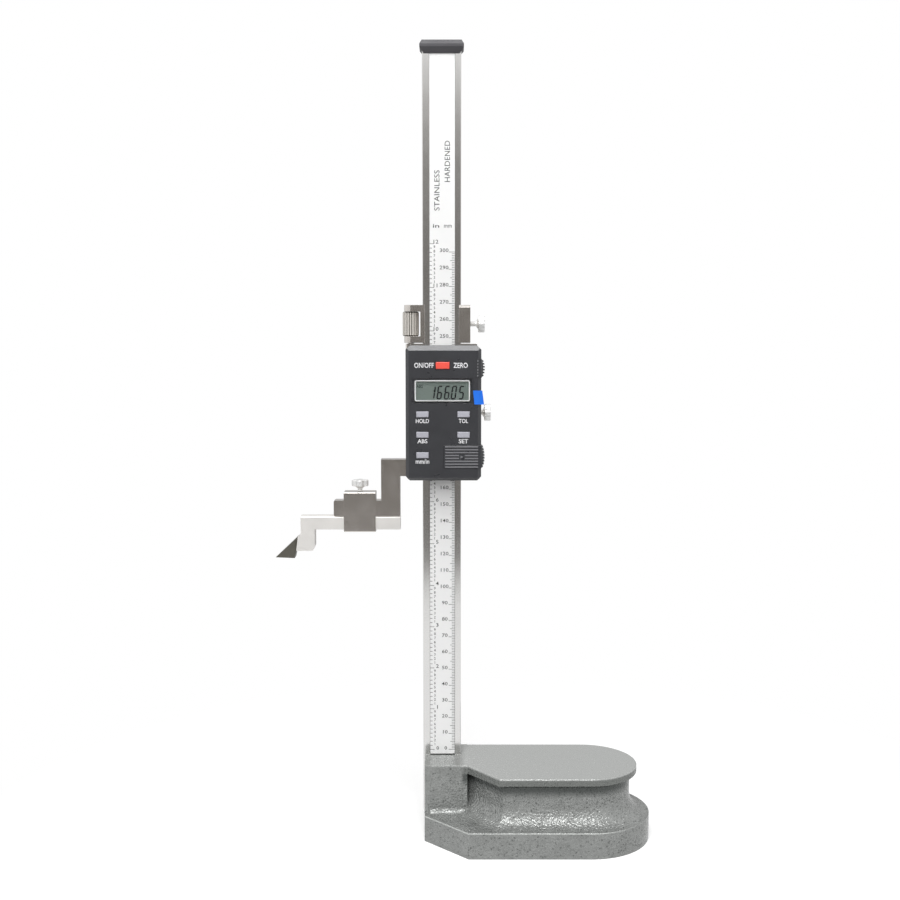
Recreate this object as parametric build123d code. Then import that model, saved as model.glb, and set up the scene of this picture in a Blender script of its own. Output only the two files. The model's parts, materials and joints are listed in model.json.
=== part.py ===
"""Digital height gauge, 300 mm, with a fine-feed carriage and a clamped scriber.

The frame stands on the surface plate: the origin is on the underside of the base, straight below
the middle of the beam's front face.  X runs to the right along the base, Y runs back from the dial
side, Z runs up the beam.  All sizes are in millimetres.
"""
from build123d import *
import os
from math import cos, pi, radians, sin

# ---------------------------------------------------------------- clearances
SLIDE_GAP = 0.05            # between sliding faces
THREAD_GAP = 0.03           # radial, between a thread and its hole
KEY_GAP = 0.12              # round a key in its hole
SHELL_GAP = 0.1             # between a lid or plate and the shell round it
STUD_SIDES = 12             # of the screw shanks that nothing shows
NEAR = 0.01                 # how close two coordinates are when they are the same corner

# ---------------------------------------------------------------- cast base
BASE_HEIGHT = 44.6
FOOT_HEIGHT = 15.6
FOOT_RADIUS = 38.1          # round end of the foot, and half its width
PLATE_RADIUS = 30.4         # round end of the top plate, and half its width
END_X = 86.1                # axis of both round ends
CENTRE_Y = -11.6            # centre line of foot and plate
LIP_THICKNESS = 4.9
WAIST_INSET = 4.2
CAST_EDGE = 0.7             # broken edges of the casting
WAIST_CORNER = 1.5          # under the lip
BLOCK_LEFT = -10.3
BLOCK_RIGHT = 15.2
BLOCK_FRONT = -19.7
BLOCK_CORNER = 3.0
BLOCK_FLARE = 4.0           # hollow radius where the block meets the foot
FOOT_CUT_X = 15.4           # the foot's cut corner, on its front edge
FOOT_CUT_Y = -23.8          # the same cut, on its left edge
PLATE_CUT_X = 33.7          # the plate's cut corner, on its front edge
RELIEF_RIM = 9.0            # ground rim on the underside
RELIEF_DEPTH = 1.5

# ---------------------------------------------------------------- beam
BEAM_WIDTH = 22.8
BEAM_THICKNESS = 8.0
BEAM_FOOT = 9.0             # lower end, inside the block
BEAM_EDGE = 0.3
GROOVE_WIDTH = 15.1
GROOVE_SHIFT = 0.24
GROOVE_DEPTH = 1.0
STRIP_THICKNESS = 0.75
LABEL_THICKNESS = 0.2
LABEL_START = 0.6           # above the block

# ---------------------------------------------------------------- end cap
CAP_BOTTOM = 461.1
CAP_HEIGHT = 7.4
CAP_ROOF = 2.5
CAP_SIDE = 1.45             # wall beside the beam
CAP_FRONT = 3.0             # wall before and behind the beam
CAP_LOW_BEVEL = (2.4, 3.3)  # in, up
CAP_TOP_BEVEL = (1.3, 2.4)

# ---------------------------------------------------------------- beam fixing screws
FIX_SCREW_RADIUS = 2.5
FIX_HEAD_RADIUS = 4.25
FIX_HEAD_HEIGHT = 5.0
FIX_BITE = 6.0              # thread in the beam
FIX_ROWS_Z = (19.0, 36.0)
FIX_BORE_GAP = 0.3
FIX_SEAT = 5.3              # head seat behind the beam
SOCKET_ACROSS = 4.0
SOCKET_DEPTH = 2.5

# ---------------------------------------------------------------- sections that ride on the beam
LIP_COVER = 1.3             # how far the front lips reach over the beam
LIP_FRONT = 2.0
BACK_WALL = 2.95
RIGHT_WALL = 4.2
GIB_THICKNESS = 1.15
GIB_WIDTH = 6.0

# ---------------------------------------------------------------- fine-feed carriage
CARRIAGE_FEED_ROOM = 0.6    # between the slider and the carriage
CARRIAGE_HEIGHT = 22.2
CARRIAGE_LEFT = -22.2
CARRIAGE_ROUND = 4.0
CARRIAGE_BEVEL = 1.3
YOKE_WEB = 1.2              # left of the beam
NUT_RADIUS = 4.85
NUT_HEIGHT = 14.3
NUT_LINE_X = -18.4
NUT_END_GAP = 0.1
NUT_FLUTES = 20
FLUTE_DEPTH = 0.4
FLUTE_LAND = 0.44           # share of the pitch that is left flat
NUT_CHAMFER = 0.6
FEED_RADIUS = 2.0
FEED_TOP_GAP = 1.4          # from the feed screw's end to the carriage's top
FEED_SUNK = 7.0             # length fixed in the slider's lug

# ---------------------------------------------------------------- slider frame and jaw
SLIDER_BOTTOM = 214.9
SLIDER_TOP = 294.2
CHANNEL_LEFT = -15.7
LUG_LEFT = -21.4
LUG_HEIGHT = 10.2
LUG_ROUND = 3.0
FLANGE_LEFT = -20.4
FLANGE_RIGHT = 20.7
LOCK_Z = 253.4
BOSS_RIGHT = 20.5
BOSS_SIZE = 9.0
ARM_STEP = 0.7              # the arm's underside above the frame's
ARM_HEIGHT = 10.0
LEG_LEFT = -36.3
LEG_WIDTH = 11.3
NOSE_LEFT = -64.7
NOSE_TOP = 200.9
NOSE_BOTTOM = 191.5
JAW_EDGE = 0.6
SLIDER_GIB_INSET = 4.0
GRUB_RADIUS = 1.5
GRUB_KEY = 1.5              # across the flats of its hexagon socket
GRUB_KEY_DEPTH = 2.0
GRUB_ROWS_Z = (233.0, 275.0)

# ---------------------------------------------------------------- lobed thumbscrews
KNOB_RADIUS = 5.0
KNOB_HEIGHT = 3.8
KNOB_CONE = 1.0             # height of the cone under the head
KNOB_COLLAR = 0.5           # step out from the stem to the cone
KNOB_LOBES = 4
SCALLOP_RADIUS = 2.4
SCALLOP_CENTRE = 5.6
LOCK_RADIUS = 1.5
LOCK_NECK = 3.7             # bare stem between the metal and the knob
CLAMP_NECK = 2.2

# ---------------------------------------------------------------- scriber and its clamp
CLAMP_LEFT = -58.6
CLAMP_WIDTH = 19.0
CLAMP_FLOOR = 1.3
CLAMP_TOP = 206.0
CLAMP_WALL = 1.5
CLAMP_ROOM = 0.6            # above the nose
CLAMP_EDGE = 0.4
BAR_HEIGHT = 8.1
BAR_RIGHT = -24.9
DROP_LEFT = -84.6
DROP_WIDTH = 8.4
DROP_BOTTOM = 170.4
DROP_CUT = (1.4, 3.0)
HEEL_OUT = (1.85, 2.9)      # how far the steel heel reaches out, at its top and bottom
HEEL_TOP = 178.9
HEEL_SHOULDER = 180.6
TIP_X = -100.1
TIP_FACE = 166.05           # measuring face
TIP_HEEL = 0.9
TIP_EDGE = 3.0              # width of the scribing edge
BAR_BEVEL = 0.85

# ---------------------------------------------------------------- display housing
HOUSING_LEFT = -21.05
HOUSING_RIGHT = 23.05
HOUSING_BOTTOM = 214.55
HOUSING_TOP = 293.45
HOUSING_DEPTH = 12.0
HOUSING_WALL = 1.8
HOUSING_CORNER = 2.4
SIDE_BEVEL = 1.8
TOP_BEVEL = (2.9, 2.0)      # down the face, back along the top
BACK_PLATE = 1.5
POST_SIZE = 4.4             # square posts that take the housing screws
HOUSING_SCREW_RADIUS = 1.0
HOUSING_HEAD_RADIUS = 1.8
HOUSING_HEAD_HEIGHT = 1.3
HOUSING_SCREW_BITE = 6.0
SCREW_INSET = 2.05          # screw line outside the channel
SCREWS_LEFT_Z = (232.0, 278.0)
SCREWS_RIGHT_Z = (219.6, 288.0)

# ---------------------------------------------------------------- display stack
WINDOW_CENTRE = (0.05, 267.25)
WINDOW_SIZE = (35.1, 14.8)
WINDOW_THICKNESS = 0.6
BEZEL_CENTRE = (0.35, 267.2)
BEZEL_SIZE = (32.2, 12.4)
BEZEL_RIM = 1.0
BEZEL_DEPTH = 1.2
BEZEL_CORNER = 1.2
BEZEL_VIEW_CORNER = 0.4
LCD_MARGIN = 0.6
LCD_THICKNESS = 2.0
FILM_THICKNESS = 0.1
FILM_RIGHT = 18.6
TAB_LEFT = 18.05
TAB_RIGHT = 24.7
TAB_HEIGHT = 8.1
TAB_BOTTOM = 259.3
BOARD_THICKNESS = 1.6
BOARD_INSET = 0.6
SENSOR_SIZE = (19.6, 62.0)
SENSOR_GAP = 0.3            # to the beam's front face

# ---------------------------------------------------------------- keys
KEY_SIZE = (7.2, 3.45)
ZERO_SIZE = (7.95, 4.05)
ZERO_CENTRE = (0.55, 281.9)
KEY_LEFT_X = -11.25
KEY_RIGHT_X = 12.7
KEY_TOP_ROW = 253.5
KEY_PITCH = 11.95
KEY_PROUD = 0.8
KEY_FLANGE = 0.6
KEY_FLANGE_THICKNESS = 0.7
KEY_TRAVEL = 0.5
KEY_EDGE = 0.3
MAT_GAP = 0.1               # left under a key that is pressed home

# ---------------------------------------------------------------- battery, its cover and the data port
CELL_CENTRE = (10.6, 228.6)
CELL_RADIUS = 5.8
CELL_THICKNESS = 5.4
WELL_WALL = 0.8
COVER_LEFT = 1.1
COVER_HEIGHT = 13.6
COVER_PANEL = 1.2
GRIP_OUT = 1.6              # how far the ribbed grips stand out of the side
GRIP_DEPTH = 8.4
RIB_COUNT = 8
RIB_PITCH = 1.7
RIB_WIDTH = 0.8
RIB_PROUD = 0.4
RIB_LEFT = 0.9              # from the cover's left end
ARROW_CENTRE_X = 11.8
ARROW_SIZE = 3.4
PORT_CENTRE_Z = 280.2
PORT_HEIGHT = 10.8
PORT_LEFT = 20.6
PORT_RIBS = 6
SOCKET_SIZE = (6.4, 7.6)    # data socket, along X and Z
SOCKET_THICKNESS = 1.8
SOCKET_WALL = 0.45
CONTACT_THICKNESS = 0.3
CONTACT_WIDTH = 3.0

# ---------------------------------------------------------------- places that follow from the sizes
BEAM_HALF = BEAM_WIDTH / 2
BEAM_MID = BEAM_THICKNESS / 2
CAP_TOP = CAP_BOTTOM + CAP_HEIGHT
BEAM_TOP = CAP_TOP - CAP_ROOF
BASE_BACK = CENTRE_Y + PLATE_RADIUS
LIP_BOTTOM = BASE_HEIGHT - LIP_THICKNESS
WAIST_RADIUS = PLATE_RADIUS - WAIST_INSET
FLARE = FOOT_RADIUS - WAIST_RADIUS
FIX_HEAD_Y = BEAM_THICKNESS + FIX_SEAT
FRAME_FRONT = -SLIDE_GAP - LIP_FRONT
FRAME_BACK = BEAM_THICKNESS + SLIDE_GAP + BACK_WALL
SLOT_LEFT = -BEAM_HALF - SLIDE_GAP
SLOT_RIGHT = BEAM_HALF + GIB_THICKNESS + SLIDE_GAP
FRAME_RIGHT = SLOT_RIGHT + RIGHT_WALL
CARRIAGE_BOTTOM = SLIDER_TOP + CARRIAGE_FEED_ROOM
CARRIAGE_TOP = CARRIAGE_BOTTOM + CARRIAGE_HEIGHT
CARRIAGE_MID = CARRIAGE_BOTTOM + CARRIAGE_HEIGHT / 2
ARM_BOTTOM = SLIDER_BOTTOM + ARM_STEP
ARM_TOP = ARM_BOTTOM + ARM_HEIGHT
LEG_RIGHT = LEG_LEFT + LEG_WIDTH
BAR_BOTTOM = NOSE_BOTTOM - BAR_HEIGHT
CLAMP_BOTTOM = BAR_BOTTOM - CLAMP_FLOOR
CLAMP_MID = CLAMP_LEFT + CLAMP_WIDTH / 2
FACE = FRAME_FRONT - HOUSING_DEPTH
INSIDE = FACE + HOUSING_WALL
PLATE_FRONT = FRAME_FRONT - BACK_PLATE
LEDGE = FACE + WINDOW_THICKNESS
BEZEL_BACK = LEDGE + BEZEL_DEPTH
BOARD_FRONT = BEZEL_BACK + LCD_THICKNESS
BOARD_BACK = BOARD_FRONT + BOARD_THICKNESS
SCREW_LEFT_X = CHANNEL_LEFT - SCREW_INSET
SCREW_RIGHT_X = FRAME_RIGHT + SCREW_INSET
COVER_BOTTOM = CELL_CENTRE[1] - COVER_HEIGHT / 2
COVER_TOP = CELL_CENTRE[1] + COVER_HEIGHT / 2
GRIP_RIGHT = HOUSING_RIGHT + GRIP_OUT
CELL_FRONT = FACE + COVER_PANEL + SHELL_GAP
CELL_BACK = CELL_FRONT + CELL_THICKNESS
KEY_BACK = INSIDE + SLIDE_GAP + KEY_FLANGE_THICKNESS
MAT_FRONT = KEY_BACK + KEY_TRAVEL + MAT_GAP
SCREW_SPOTS = [(SCREW_LEFT_X, z) for z in SCREWS_LEFT_Z] + [(SCREW_RIGHT_X, z) for z in SCREWS_RIGHT_Z]
KEY_SPOTS = {
    "button_hold": (KEY_LEFT_X, KEY_TOP_ROW),
    "button_abs": (KEY_LEFT_X, KEY_TOP_ROW - KEY_PITCH),
    "button_unit": (KEY_LEFT_X, KEY_TOP_ROW - 2 * KEY_PITCH),
    "button_tol": (KEY_RIGHT_X, KEY_TOP_ROW),
    "button_set": (KEY_RIGHT_X, KEY_TOP_ROW - KEY_PITCH),
}


# ---------------------------------------------------------------- helpers
def block(x, y, z):
    """A box between two limits on each axis."""
    centre = Pos((x[0] + x[1]) / 2, (y[0] + y[1]) / 2, (z[0] + z[1]) / 2)
    return centre * Box(x[1] - x[0], y[1] - y[0], z[1] - z[0])


def outline(*points):
    """A flat face with straight sides."""
    return make_face(Polyline(*points, close=True))


def slab(face, front, back):
    """A face drawn in X and Z, made solid from front to back."""
    return extrude(Plane.XZ.offset(-back) * face, amount=back - front)


def bar(face, left, right):
    """A face drawn in Y and Z, made solid from left to right."""
    return extrude(Plane.YZ.offset(left) * face, amount=right - left)


def post(face, bottom, top):
    """A face drawn in X and Y, made solid from bottom to top."""
    return extrude(Plane.XY.offset(bottom) * face, amount=top - bottom)


def panel(centre, size, front, back, grow=0.0, corner=0.0):
    """A rectangular plate that faces the front, with its centre in X and Z."""
    face = Rectangle(size[0] + 2 * grow, size[1] + 2 * grow)
    if corner > 0:
        face = fillet(face.vertices(), corner)
    return slab(Pos(*centre) * face, front, back)


def rod_y(centre, radius, front, back):
    """A round bar along Y, with its centre in X and Z."""
    return slab(Pos(*centre) * Circle(radius), front, back)


def stud_y(centre, radius, front, back):
    """A plain many-sided bar along Y, for a screw that nothing shows, and for its hole."""
    return slab(Pos(*centre) * RegularPolygon(radius, STUD_SIDES), front, back)


def rod_x(centre, radius, left, right):
    """A round bar along X, with its centre in Y and Z."""
    return bar(Pos(*centre) * Circle(radius), left, right)


def rod_z(centre, radius, bottom, top):
    """A round bar along Z, with its centre in X and Y."""
    return post(Pos(*centre) * Circle(radius), bottom, top)


def write(name, shape):
    shape.label = name
    export_step(shape, f"parts/{name}.step")


# ---------------------------------------------------------------- stand
def half_section():
    """Half the base's cross-section: foot, hollow flare, waist and overhanging lip."""
    flare_middle = (FOOT_RADIUS - FLARE * cos(radians(45)), FOOT_HEIGHT + FLARE * (1 - sin(radians(45))))
    foot = Polyline(
        (WAIST_RADIUS, FOOT_HEIGHT + FLARE),
        (WAIST_RADIUS, LIP_BOTTOM),
        (PLATE_RADIUS, LIP_BOTTOM),
        (PLATE_RADIUS, BASE_HEIGHT),
        (0, BASE_HEIGHT),
        (0, 0),
        (FOOT_RADIUS, 0),
        (FOOT_RADIUS, FOOT_HEIGHT),
    )
    flare = ThreePointArc((FOOT_RADIUS, FOOT_HEIGHT), flare_middle, (WAIST_RADIUS, FOOT_HEIGHT + FLARE))
    face = make_face((foot + flare).edges())
    lip = [v for v in face.vertices() if abs(v.X - PLATE_RADIUS) < NEAR]
    face = chamfer(lip, CAST_EDGE)
    under_lip = face.vertices().sort_by_distance((WAIST_RADIUS, LIP_BOTTOM))[0]
    return chamfer(under_lip, WAIST_CORNER)


def foot_outline():
    front = CENTRE_Y - FOOT_RADIUS
    back = CENTRE_Y + FOOT_RADIUS
    sides = Polyline(
        (END_X, back), (BLOCK_LEFT, back), (BLOCK_LEFT, FOOT_CUT_Y), (FOOT_CUT_X, front), (END_X, front)
    )
    return make_face((sides + CenterArc((END_X, CENTRE_Y), FOOT_RADIUS, -90, 180)).edges())


def plate_corner_cutter():
    """What is cast away in front of the plate's slanted corner, above the foot."""
    plate_front = CENTRE_Y - PLATE_RADIUS
    run = Vector(PLATE_CUT_X - BLOCK_RIGHT, plate_front - BLOCK_FRONT, 0)
    reach = FOOT_RADIUS * 2
    top = BASE_HEIGHT + CAST_EDGE
    rise = FOOT_HEIGHT + FLARE
    edge = Polyline(
        (-WAIST_INSET, rise),
        (-WAIST_INSET, LIP_BOTTOM),
        (0, LIP_BOTTOM),
        (0, top),
        (reach, top),
        (reach, FOOT_HEIGHT),
        (FLARE - WAIST_INSET, FOOT_HEIGHT),
    )
    middle = (FLARE * (1 - cos(radians(45))) - WAIST_INSET, FOOT_HEIGHT + FLARE * (1 - sin(radians(45))))
    flare = ThreePointArc((FLARE - WAIST_INSET, FOOT_HEIGHT), middle, (-WAIST_INSET, rise))
    outward = Vector(run.Y, -run.X, 0).normalized()
    across = Plane(origin=(BLOCK_RIGHT, BLOCK_FRONT, 0), x_dir=outward, z_dir=outward.cross(Vector(0, 0, 1)))
    return extrude(across * make_face((edge + flare).edges()), amount=reach, both=True)


def base_casting():
    half = half_section()
    round_end = revolve(
        Plane(origin=(END_X, CENTRE_Y, 0), x_dir=(0, -1, 0), z_dir=(-1, 0, 0)) * half,
        axis=Axis((END_X, CENTRE_Y, 0), (0, 0, 1)),
        revolution_arc=180,
    )
    centre_line = Plane(origin=(BLOCK_LEFT, CENTRE_Y, 0), x_dir=(0, 1, 0), z_dir=(1, 0, 0))
    length = END_X - BLOCK_LEFT
    straight = extrude(centre_line * half, amount=length)
    straight += extrude(centre_line * mirror(half, about=Plane.YZ), amount=length)
    body = straight - plate_corner_cutter() + round_end
    body &= post(foot_outline(), 0, BASE_HEIGHT)
    column = block((BLOCK_LEFT, BLOCK_RIGHT), (BLOCK_FRONT, BASE_BACK), (0, BASE_HEIGHT))
    corner = column.edges().filter_by(Axis.Z).sort_by(Axis.X)[:2].sort_by(Axis.Y)[0]
    column = fillet(corner, BLOCK_CORNER)
    hollow = make_face((
        Polyline((BLOCK_FRONT - BLOCK_FLARE, FOOT_HEIGHT), (BLOCK_FRONT, FOOT_HEIGHT),
                 (BLOCK_FRONT, FOOT_HEIGHT + BLOCK_FLARE))
        + CenterArc((BLOCK_FRONT - BLOCK_FLARE, FOOT_HEIGHT + BLOCK_FLARE), BLOCK_FLARE, -90, 90)
    ).edges())
    column += bar(hollow, BLOCK_LEFT + BLOCK_CORNER, BLOCK_RIGHT)
    body += column
    slot_left = BLOCK_LEFT - SLIDE_GAP
    body -= block((slot_left, BEAM_HALF + SLIDE_GAP), (-SLIDE_GAP, BEAM_THICKNESS), (BEAM_FOOT, BASE_HEIGHT))
    for z in FIX_ROWS_Z:
        body -= stud_y((0, z), FIX_SCREW_RADIUS + FIX_BORE_GAP, BEAM_THICKNESS, BASE_BACK)
        body -= rod_y((0, z), FIX_HEAD_RADIUS + FIX_BORE_GAP, FIX_HEAD_Y, CENTRE_Y + FOOT_RADIUS)
    relief = offset(foot_outline(), amount=-RELIEF_RIM)
    relief = post(relief, 0, RELIEF_DEPTH)
    return body - (relief - block((BLOCK_LEFT, BLOCK_RIGHT), (BLOCK_FRONT, BASE_BACK), (0, RELIEF_DEPTH)))


def beam_fixing_screws():
    made = []
    head_end = FIX_HEAD_Y + FIX_HEAD_HEIGHT
    for z in FIX_ROWS_Z:
        screw = stud_y((0, z), FIX_SCREW_RADIUS, BEAM_THICKNESS - FIX_BITE, FIX_HEAD_Y)
        screw += rod_y((0, z), FIX_HEAD_RADIUS, FIX_HEAD_Y, head_end)
        key = Pos(0, z) * RegularPolygon(SOCKET_ACROSS / 2, 6, major_radius=False)
        made.append(screw - slab(key, head_end - SOCKET_DEPTH, head_end))
    return group(made)


def group(solids):
    """Several separate solids in one node."""
    return Compound(children=[Part() + solid for solid in solids])


def beam():
    section = Pos(0, BEAM_MID) * Rectangle(BEAM_WIDTH, BEAM_THICKNESS)
    section = chamfer(section.vertices(), BEAM_EDGE)
    section -= Pos(GROOVE_SHIFT, GROOVE_DEPTH / 2) * Rectangle(GROOVE_WIDTH, GROOVE_DEPTH)
    bar_stock = post(section, BEAM_FOOT, BEAM_TOP)
    for z in FIX_ROWS_Z:
        bar_stock -= stud_y((0, z), FIX_SCREW_RADIUS + THREAD_GAP, BEAM_THICKNESS - FIX_BITE, BEAM_THICKNESS)
    return bar_stock


def groove_strip(front, back):
    half = GROOVE_WIDTH / 2 - SLIDE_GAP
    width = (GROOVE_SHIFT - half, GROOVE_SHIFT + half)
    return block(width, (front, back), (BASE_HEIGHT + LABEL_START, BEAM_TOP))


def stator_strip():
    return groove_strip(GROOVE_DEPTH - STRIP_THICKNESS, GROOVE_DEPTH)


def scale_label():
    back = GROOVE_DEPTH - STRIP_THICKNESS
    return groove_strip(back - LABEL_THICKNESS, back)


def bevelled(low, high):
    """Side view of the cap: bevelled below and above, between two limits."""
    low_in, low_up = CAP_LOW_BEVEL
    top_in, top_down = CAP_TOP_BEVEL
    return outline(
        (low + low_in, CAP_BOTTOM), (high - low_in, CAP_BOTTOM),
        (high, CAP_BOTTOM + low_up), (high, CAP_TOP - top_down),
        (high - top_in, CAP_TOP), (low + top_in, CAP_TOP),
        (low, CAP_TOP - top_down), (low, CAP_BOTTOM + low_up),
    )


def beam_end_cap():
    side = BEAM_HALF + CAP_SIDE
    front = -CAP_FRONT
    back = BEAM_THICKNESS + CAP_FRONT
    cap = slab(bevelled(-side, side), front, back) & bar(bevelled(front, back), -side, side)
    socket = BEAM_HALF + THREAD_GAP
    return cap - block((-socket, socket), (-THREAD_GAP, BEAM_THICKNESS + THREAD_GAP), (CAP_BOTTOM, BEAM_TOP))


# ---------------------------------------------------------------- fine-feed carriage
def beam_slot(bottom, top):
    """The room that a riding section leaves for the beam, its gib and the view of the scale."""
    room = block((SLOT_LEFT, SLOT_RIGHT), (-SLIDE_GAP, BEAM_THICKNESS + SLIDE_GAP), (bottom, top))
    view = BEAM_HALF - LIP_COVER
    return room + block((-view, view), (FRAME_FRONT, 0), (bottom, top))


def fine_carriage():
    depth = (FRAME_FRONT, FRAME_BACK)
    height = (CARRIAGE_BOTTOM, CARRIAGE_TOP)
    body = block((CARRIAGE_LEFT, FRAME_RIGHT), depth, height)
    body = fillet(body.edges().filter_by(Axis.Z).sort_by(Axis.X)[:2], CARRIAGE_ROUND)
    body -= beam_slot(*height)
    reach = NUT_HEIGHT / 2 + NUT_END_GAP
    window = (CARRIAGE_MID - reach, CARRIAGE_MID + reach)
    body -= block((CARRIAGE_LEFT, SLOT_LEFT - YOKE_WEB), depth, window)
    body -= rod_z((NUT_LINE_X, BEAM_MID), FEED_RADIUS + SLIDE_GAP, *height)
    body -= rod_x((BEAM_MID, CARRIAGE_MID), LOCK_RADIUS + THREAD_GAP, SLOT_RIGHT, FRAME_RIGHT)
    bevel = outline(
        (FRAME_FRONT, CARRIAGE_TOP - CARRIAGE_BEVEL), (FRAME_FRONT, CARRIAGE_TOP),
        (FRAME_FRONT + CARRIAGE_BEVEL, CARRIAGE_TOP),
    )
    return body - bar(bevel, 0, FRAME_RIGHT)


def gib(bottom, top):
    """Bronze strip between the beam's edge and the wall of the section that rides on it."""
    width = (BEAM_MID - GIB_WIDTH / 2, BEAM_MID + GIB_WIDTH / 2)
    return block((BEAM_HALF + SLIDE_GAP, SLOT_RIGHT), width, (bottom, top))


def feed_nut():
    """Knurled nut: straight flutes cut with a flat land between them."""
    step = 2 * pi / NUT_FLUTES
    land = step * FLUTE_LAND / 2
    rim = []
    for i in range(NUT_FLUTES):
        for turn, radius in ((-land, NUT_RADIUS), (land, NUT_RADIUS), (step / 2, NUT_RADIUS - FLUTE_DEPTH)):
            angle = i * step + turn
            rim.append((radius * cos(angle), radius * sin(angle)))
    half = NUT_HEIGHT / 2
    nut = post(outline(*rim), -half, half)
    ends = nut.edges().group_by(Axis.Z)
    nut = chamfer(ends[0] + ends[-1], NUT_CHAMFER)
    nut -= rod_z((0, 0), FEED_RADIUS + SLIDE_GAP, -half, half)
    return Pos(NUT_LINE_X, BEAM_MID, CARRIAGE_MID) * nut


def thumbscrew(stem):
    """Lobed screw along +Z: the tip is at 0, then the stem, the cone and the scalloped head."""
    head_start = stem + KNOB_CONE
    turned = outline(
        (0, 0), (LOCK_RADIUS, 0), (LOCK_RADIUS, stem), (LOCK_RADIUS + KNOB_COLLAR, stem),
        (SCALLOP_CENTRE - SCALLOP_RADIUS, head_start), (0, head_start),
    )
    head = Circle(KNOB_RADIUS)
    for i in range(KNOB_LOBES):
        head -= Rot(0, 0, 360 / KNOB_LOBES * i) * Pos(SCALLOP_CENTRE, 0) * Circle(SCALLOP_RADIUS)
    return revolve(Plane.XZ * turned, axis=Axis.Z) + post(head, head_start, head_start + KNOB_HEIGHT)


def side_lock(metal_right, z):
    """A thumbscrew through a right-hand wall, with its tip on the gib."""
    stem = metal_right + LOCK_NECK - SLOT_RIGHT
    return Pos(SLOT_RIGHT, BEAM_MID, z) * Rot(0, 90, 0) * Rot(0, 0, 45) * thumbscrew(stem)


# ---------------------------------------------------------------- slider
def jaw_outline():
    return outline(
        (CHANNEL_LEFT, ARM_TOP), (LEG_LEFT, ARM_TOP), (LEG_LEFT, NOSE_TOP), (NOSE_LEFT, NOSE_TOP),
        (NOSE_LEFT, NOSE_BOTTOM), (LEG_RIGHT, NOSE_BOTTOM), (LEG_RIGHT, ARM_BOTTOM),
        (CHANNEL_LEFT, ARM_BOTTOM),
    )


def slider_frame():
    height = (SLIDER_BOTTOM, SLIDER_TOP)
    body = block((CHANNEL_LEFT, FRAME_RIGHT), (FRAME_FRONT, FRAME_BACK), height)
    body += block((FLANGE_LEFT, FLANGE_RIGHT), (FRAME_FRONT, -SLIDE_GAP), height)
    lug = block((LUG_LEFT, CHANNEL_LEFT), (0, BEAM_THICKNESS), (SLIDER_TOP - LUG_HEIGHT, SLIDER_TOP))
    lug = fillet(lug.edges().filter_by(Axis.Z).sort_by(Axis.X)[:2], LUG_ROUND)
    jaw = slab(jaw_outline(), 0, BEAM_THICKNESS)
    nose_end = [edge for edge in jaw.edges().filter_by(Axis.Y) if abs(edge.center().X - NOSE_LEFT) < NEAR]
    jaw = chamfer(nose_end, JAW_EDGE)
    reach = BOSS_SIZE / 2
    boss = block((FRAME_RIGHT, BOSS_RIGHT), (0, BEAM_THICKNESS), (LOCK_Z - reach, LOCK_Z + reach))
    body += lug + jaw + boss
    body -= beam_slot(*height)
    body -= rod_z((NUT_LINE_X, BEAM_MID), FEED_RADIUS + THREAD_GAP, SLIDER_TOP - FEED_SUNK, SLIDER_TOP)
    body -= rod_x((BEAM_MID, LOCK_Z), LOCK_RADIUS + THREAD_GAP, SLOT_RIGHT, BOSS_RIGHT)
    for z in GRUB_ROWS_Z:
        body -= rod_x((BEAM_MID, z), GRUB_RADIUS + THREAD_GAP, SLOT_RIGHT, FRAME_RIGHT)
    for spot in SCREW_SPOTS:
        body -= stud_y(spot, HOUSING_SCREW_RADIUS + SHELL_GAP, FRAME_FRONT, 0)
    return body


def gib_set_screws():
    screws = []
    for z in GRUB_ROWS_Z:
        screw = rod_x((BEAM_MID, z), GRUB_RADIUS, SLOT_RIGHT, FRAME_RIGHT)
        key = Pos(BEAM_MID, z) * RegularPolygon(GRUB_KEY / 2, 6, major_radius=False)
        screws.append(screw - bar(key, FRAME_RIGHT - GRUB_KEY_DEPTH, FRAME_RIGHT))
    return group(screws)


def feed_screw():
    rod = rod_z((NUT_LINE_X, BEAM_MID), FEED_RADIUS, SLIDER_TOP - FEED_SUNK, CARRIAGE_TOP - FEED_TOP_GAP)
    return chamfer(rod.edges().group_by(Axis.Z)[-1], KEY_EDGE)


# ---------------------------------------------------------------- display housing
def housing_block():
    """Outer form: cut corners seen from the front, bevels along the top and the sides."""
    cut = HOUSING_CORNER
    front_view = Pos((HOUSING_LEFT + HOUSING_RIGHT) / 2, (HOUSING_BOTTOM + HOUSING_TOP) / 2) * Rectangle(
        HOUSING_RIGHT - HOUSING_LEFT, HOUSING_TOP - HOUSING_BOTTOM
    )
    front_view = chamfer(front_view.vertices(), cut)
    down, in_ = TOP_BEVEL
    side_view = outline(
        (FACE, HOUSING_BOTTOM + SIDE_BEVEL), (FACE, HOUSING_TOP - down), (FACE + in_, HOUSING_TOP),
        (FRAME_FRONT, HOUSING_TOP), (FRAME_FRONT, HOUSING_BOTTOM), (FACE + SIDE_BEVEL, HOUSING_BOTTOM),
    )
    plan = outline(
        (HOUSING_LEFT + SIDE_BEVEL, FACE), (HOUSING_RIGHT - SIDE_BEVEL, FACE),
        (HOUSING_RIGHT, FACE + SIDE_BEVEL), (HOUSING_RIGHT, FRAME_FRONT),
        (HOUSING_LEFT, FRAME_FRONT), (HOUSING_LEFT, FACE + SIDE_BEVEL),
    )
    body = slab(front_view, FACE, FRAME_FRONT)
    body &= bar(side_view, HOUSING_LEFT, HOUSING_RIGHT)
    return body & post(plan, HOUSING_BOTTOM, HOUSING_TOP)


def inside_limits(gap=0.0):
    """X and Z limits of the room inside the shell's walls."""
    inset = HOUSING_WALL + gap
    return (HOUSING_LEFT + inset, HOUSING_RIGHT - inset), (HOUSING_BOTTOM + inset, HOUSING_TOP - inset)


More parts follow.
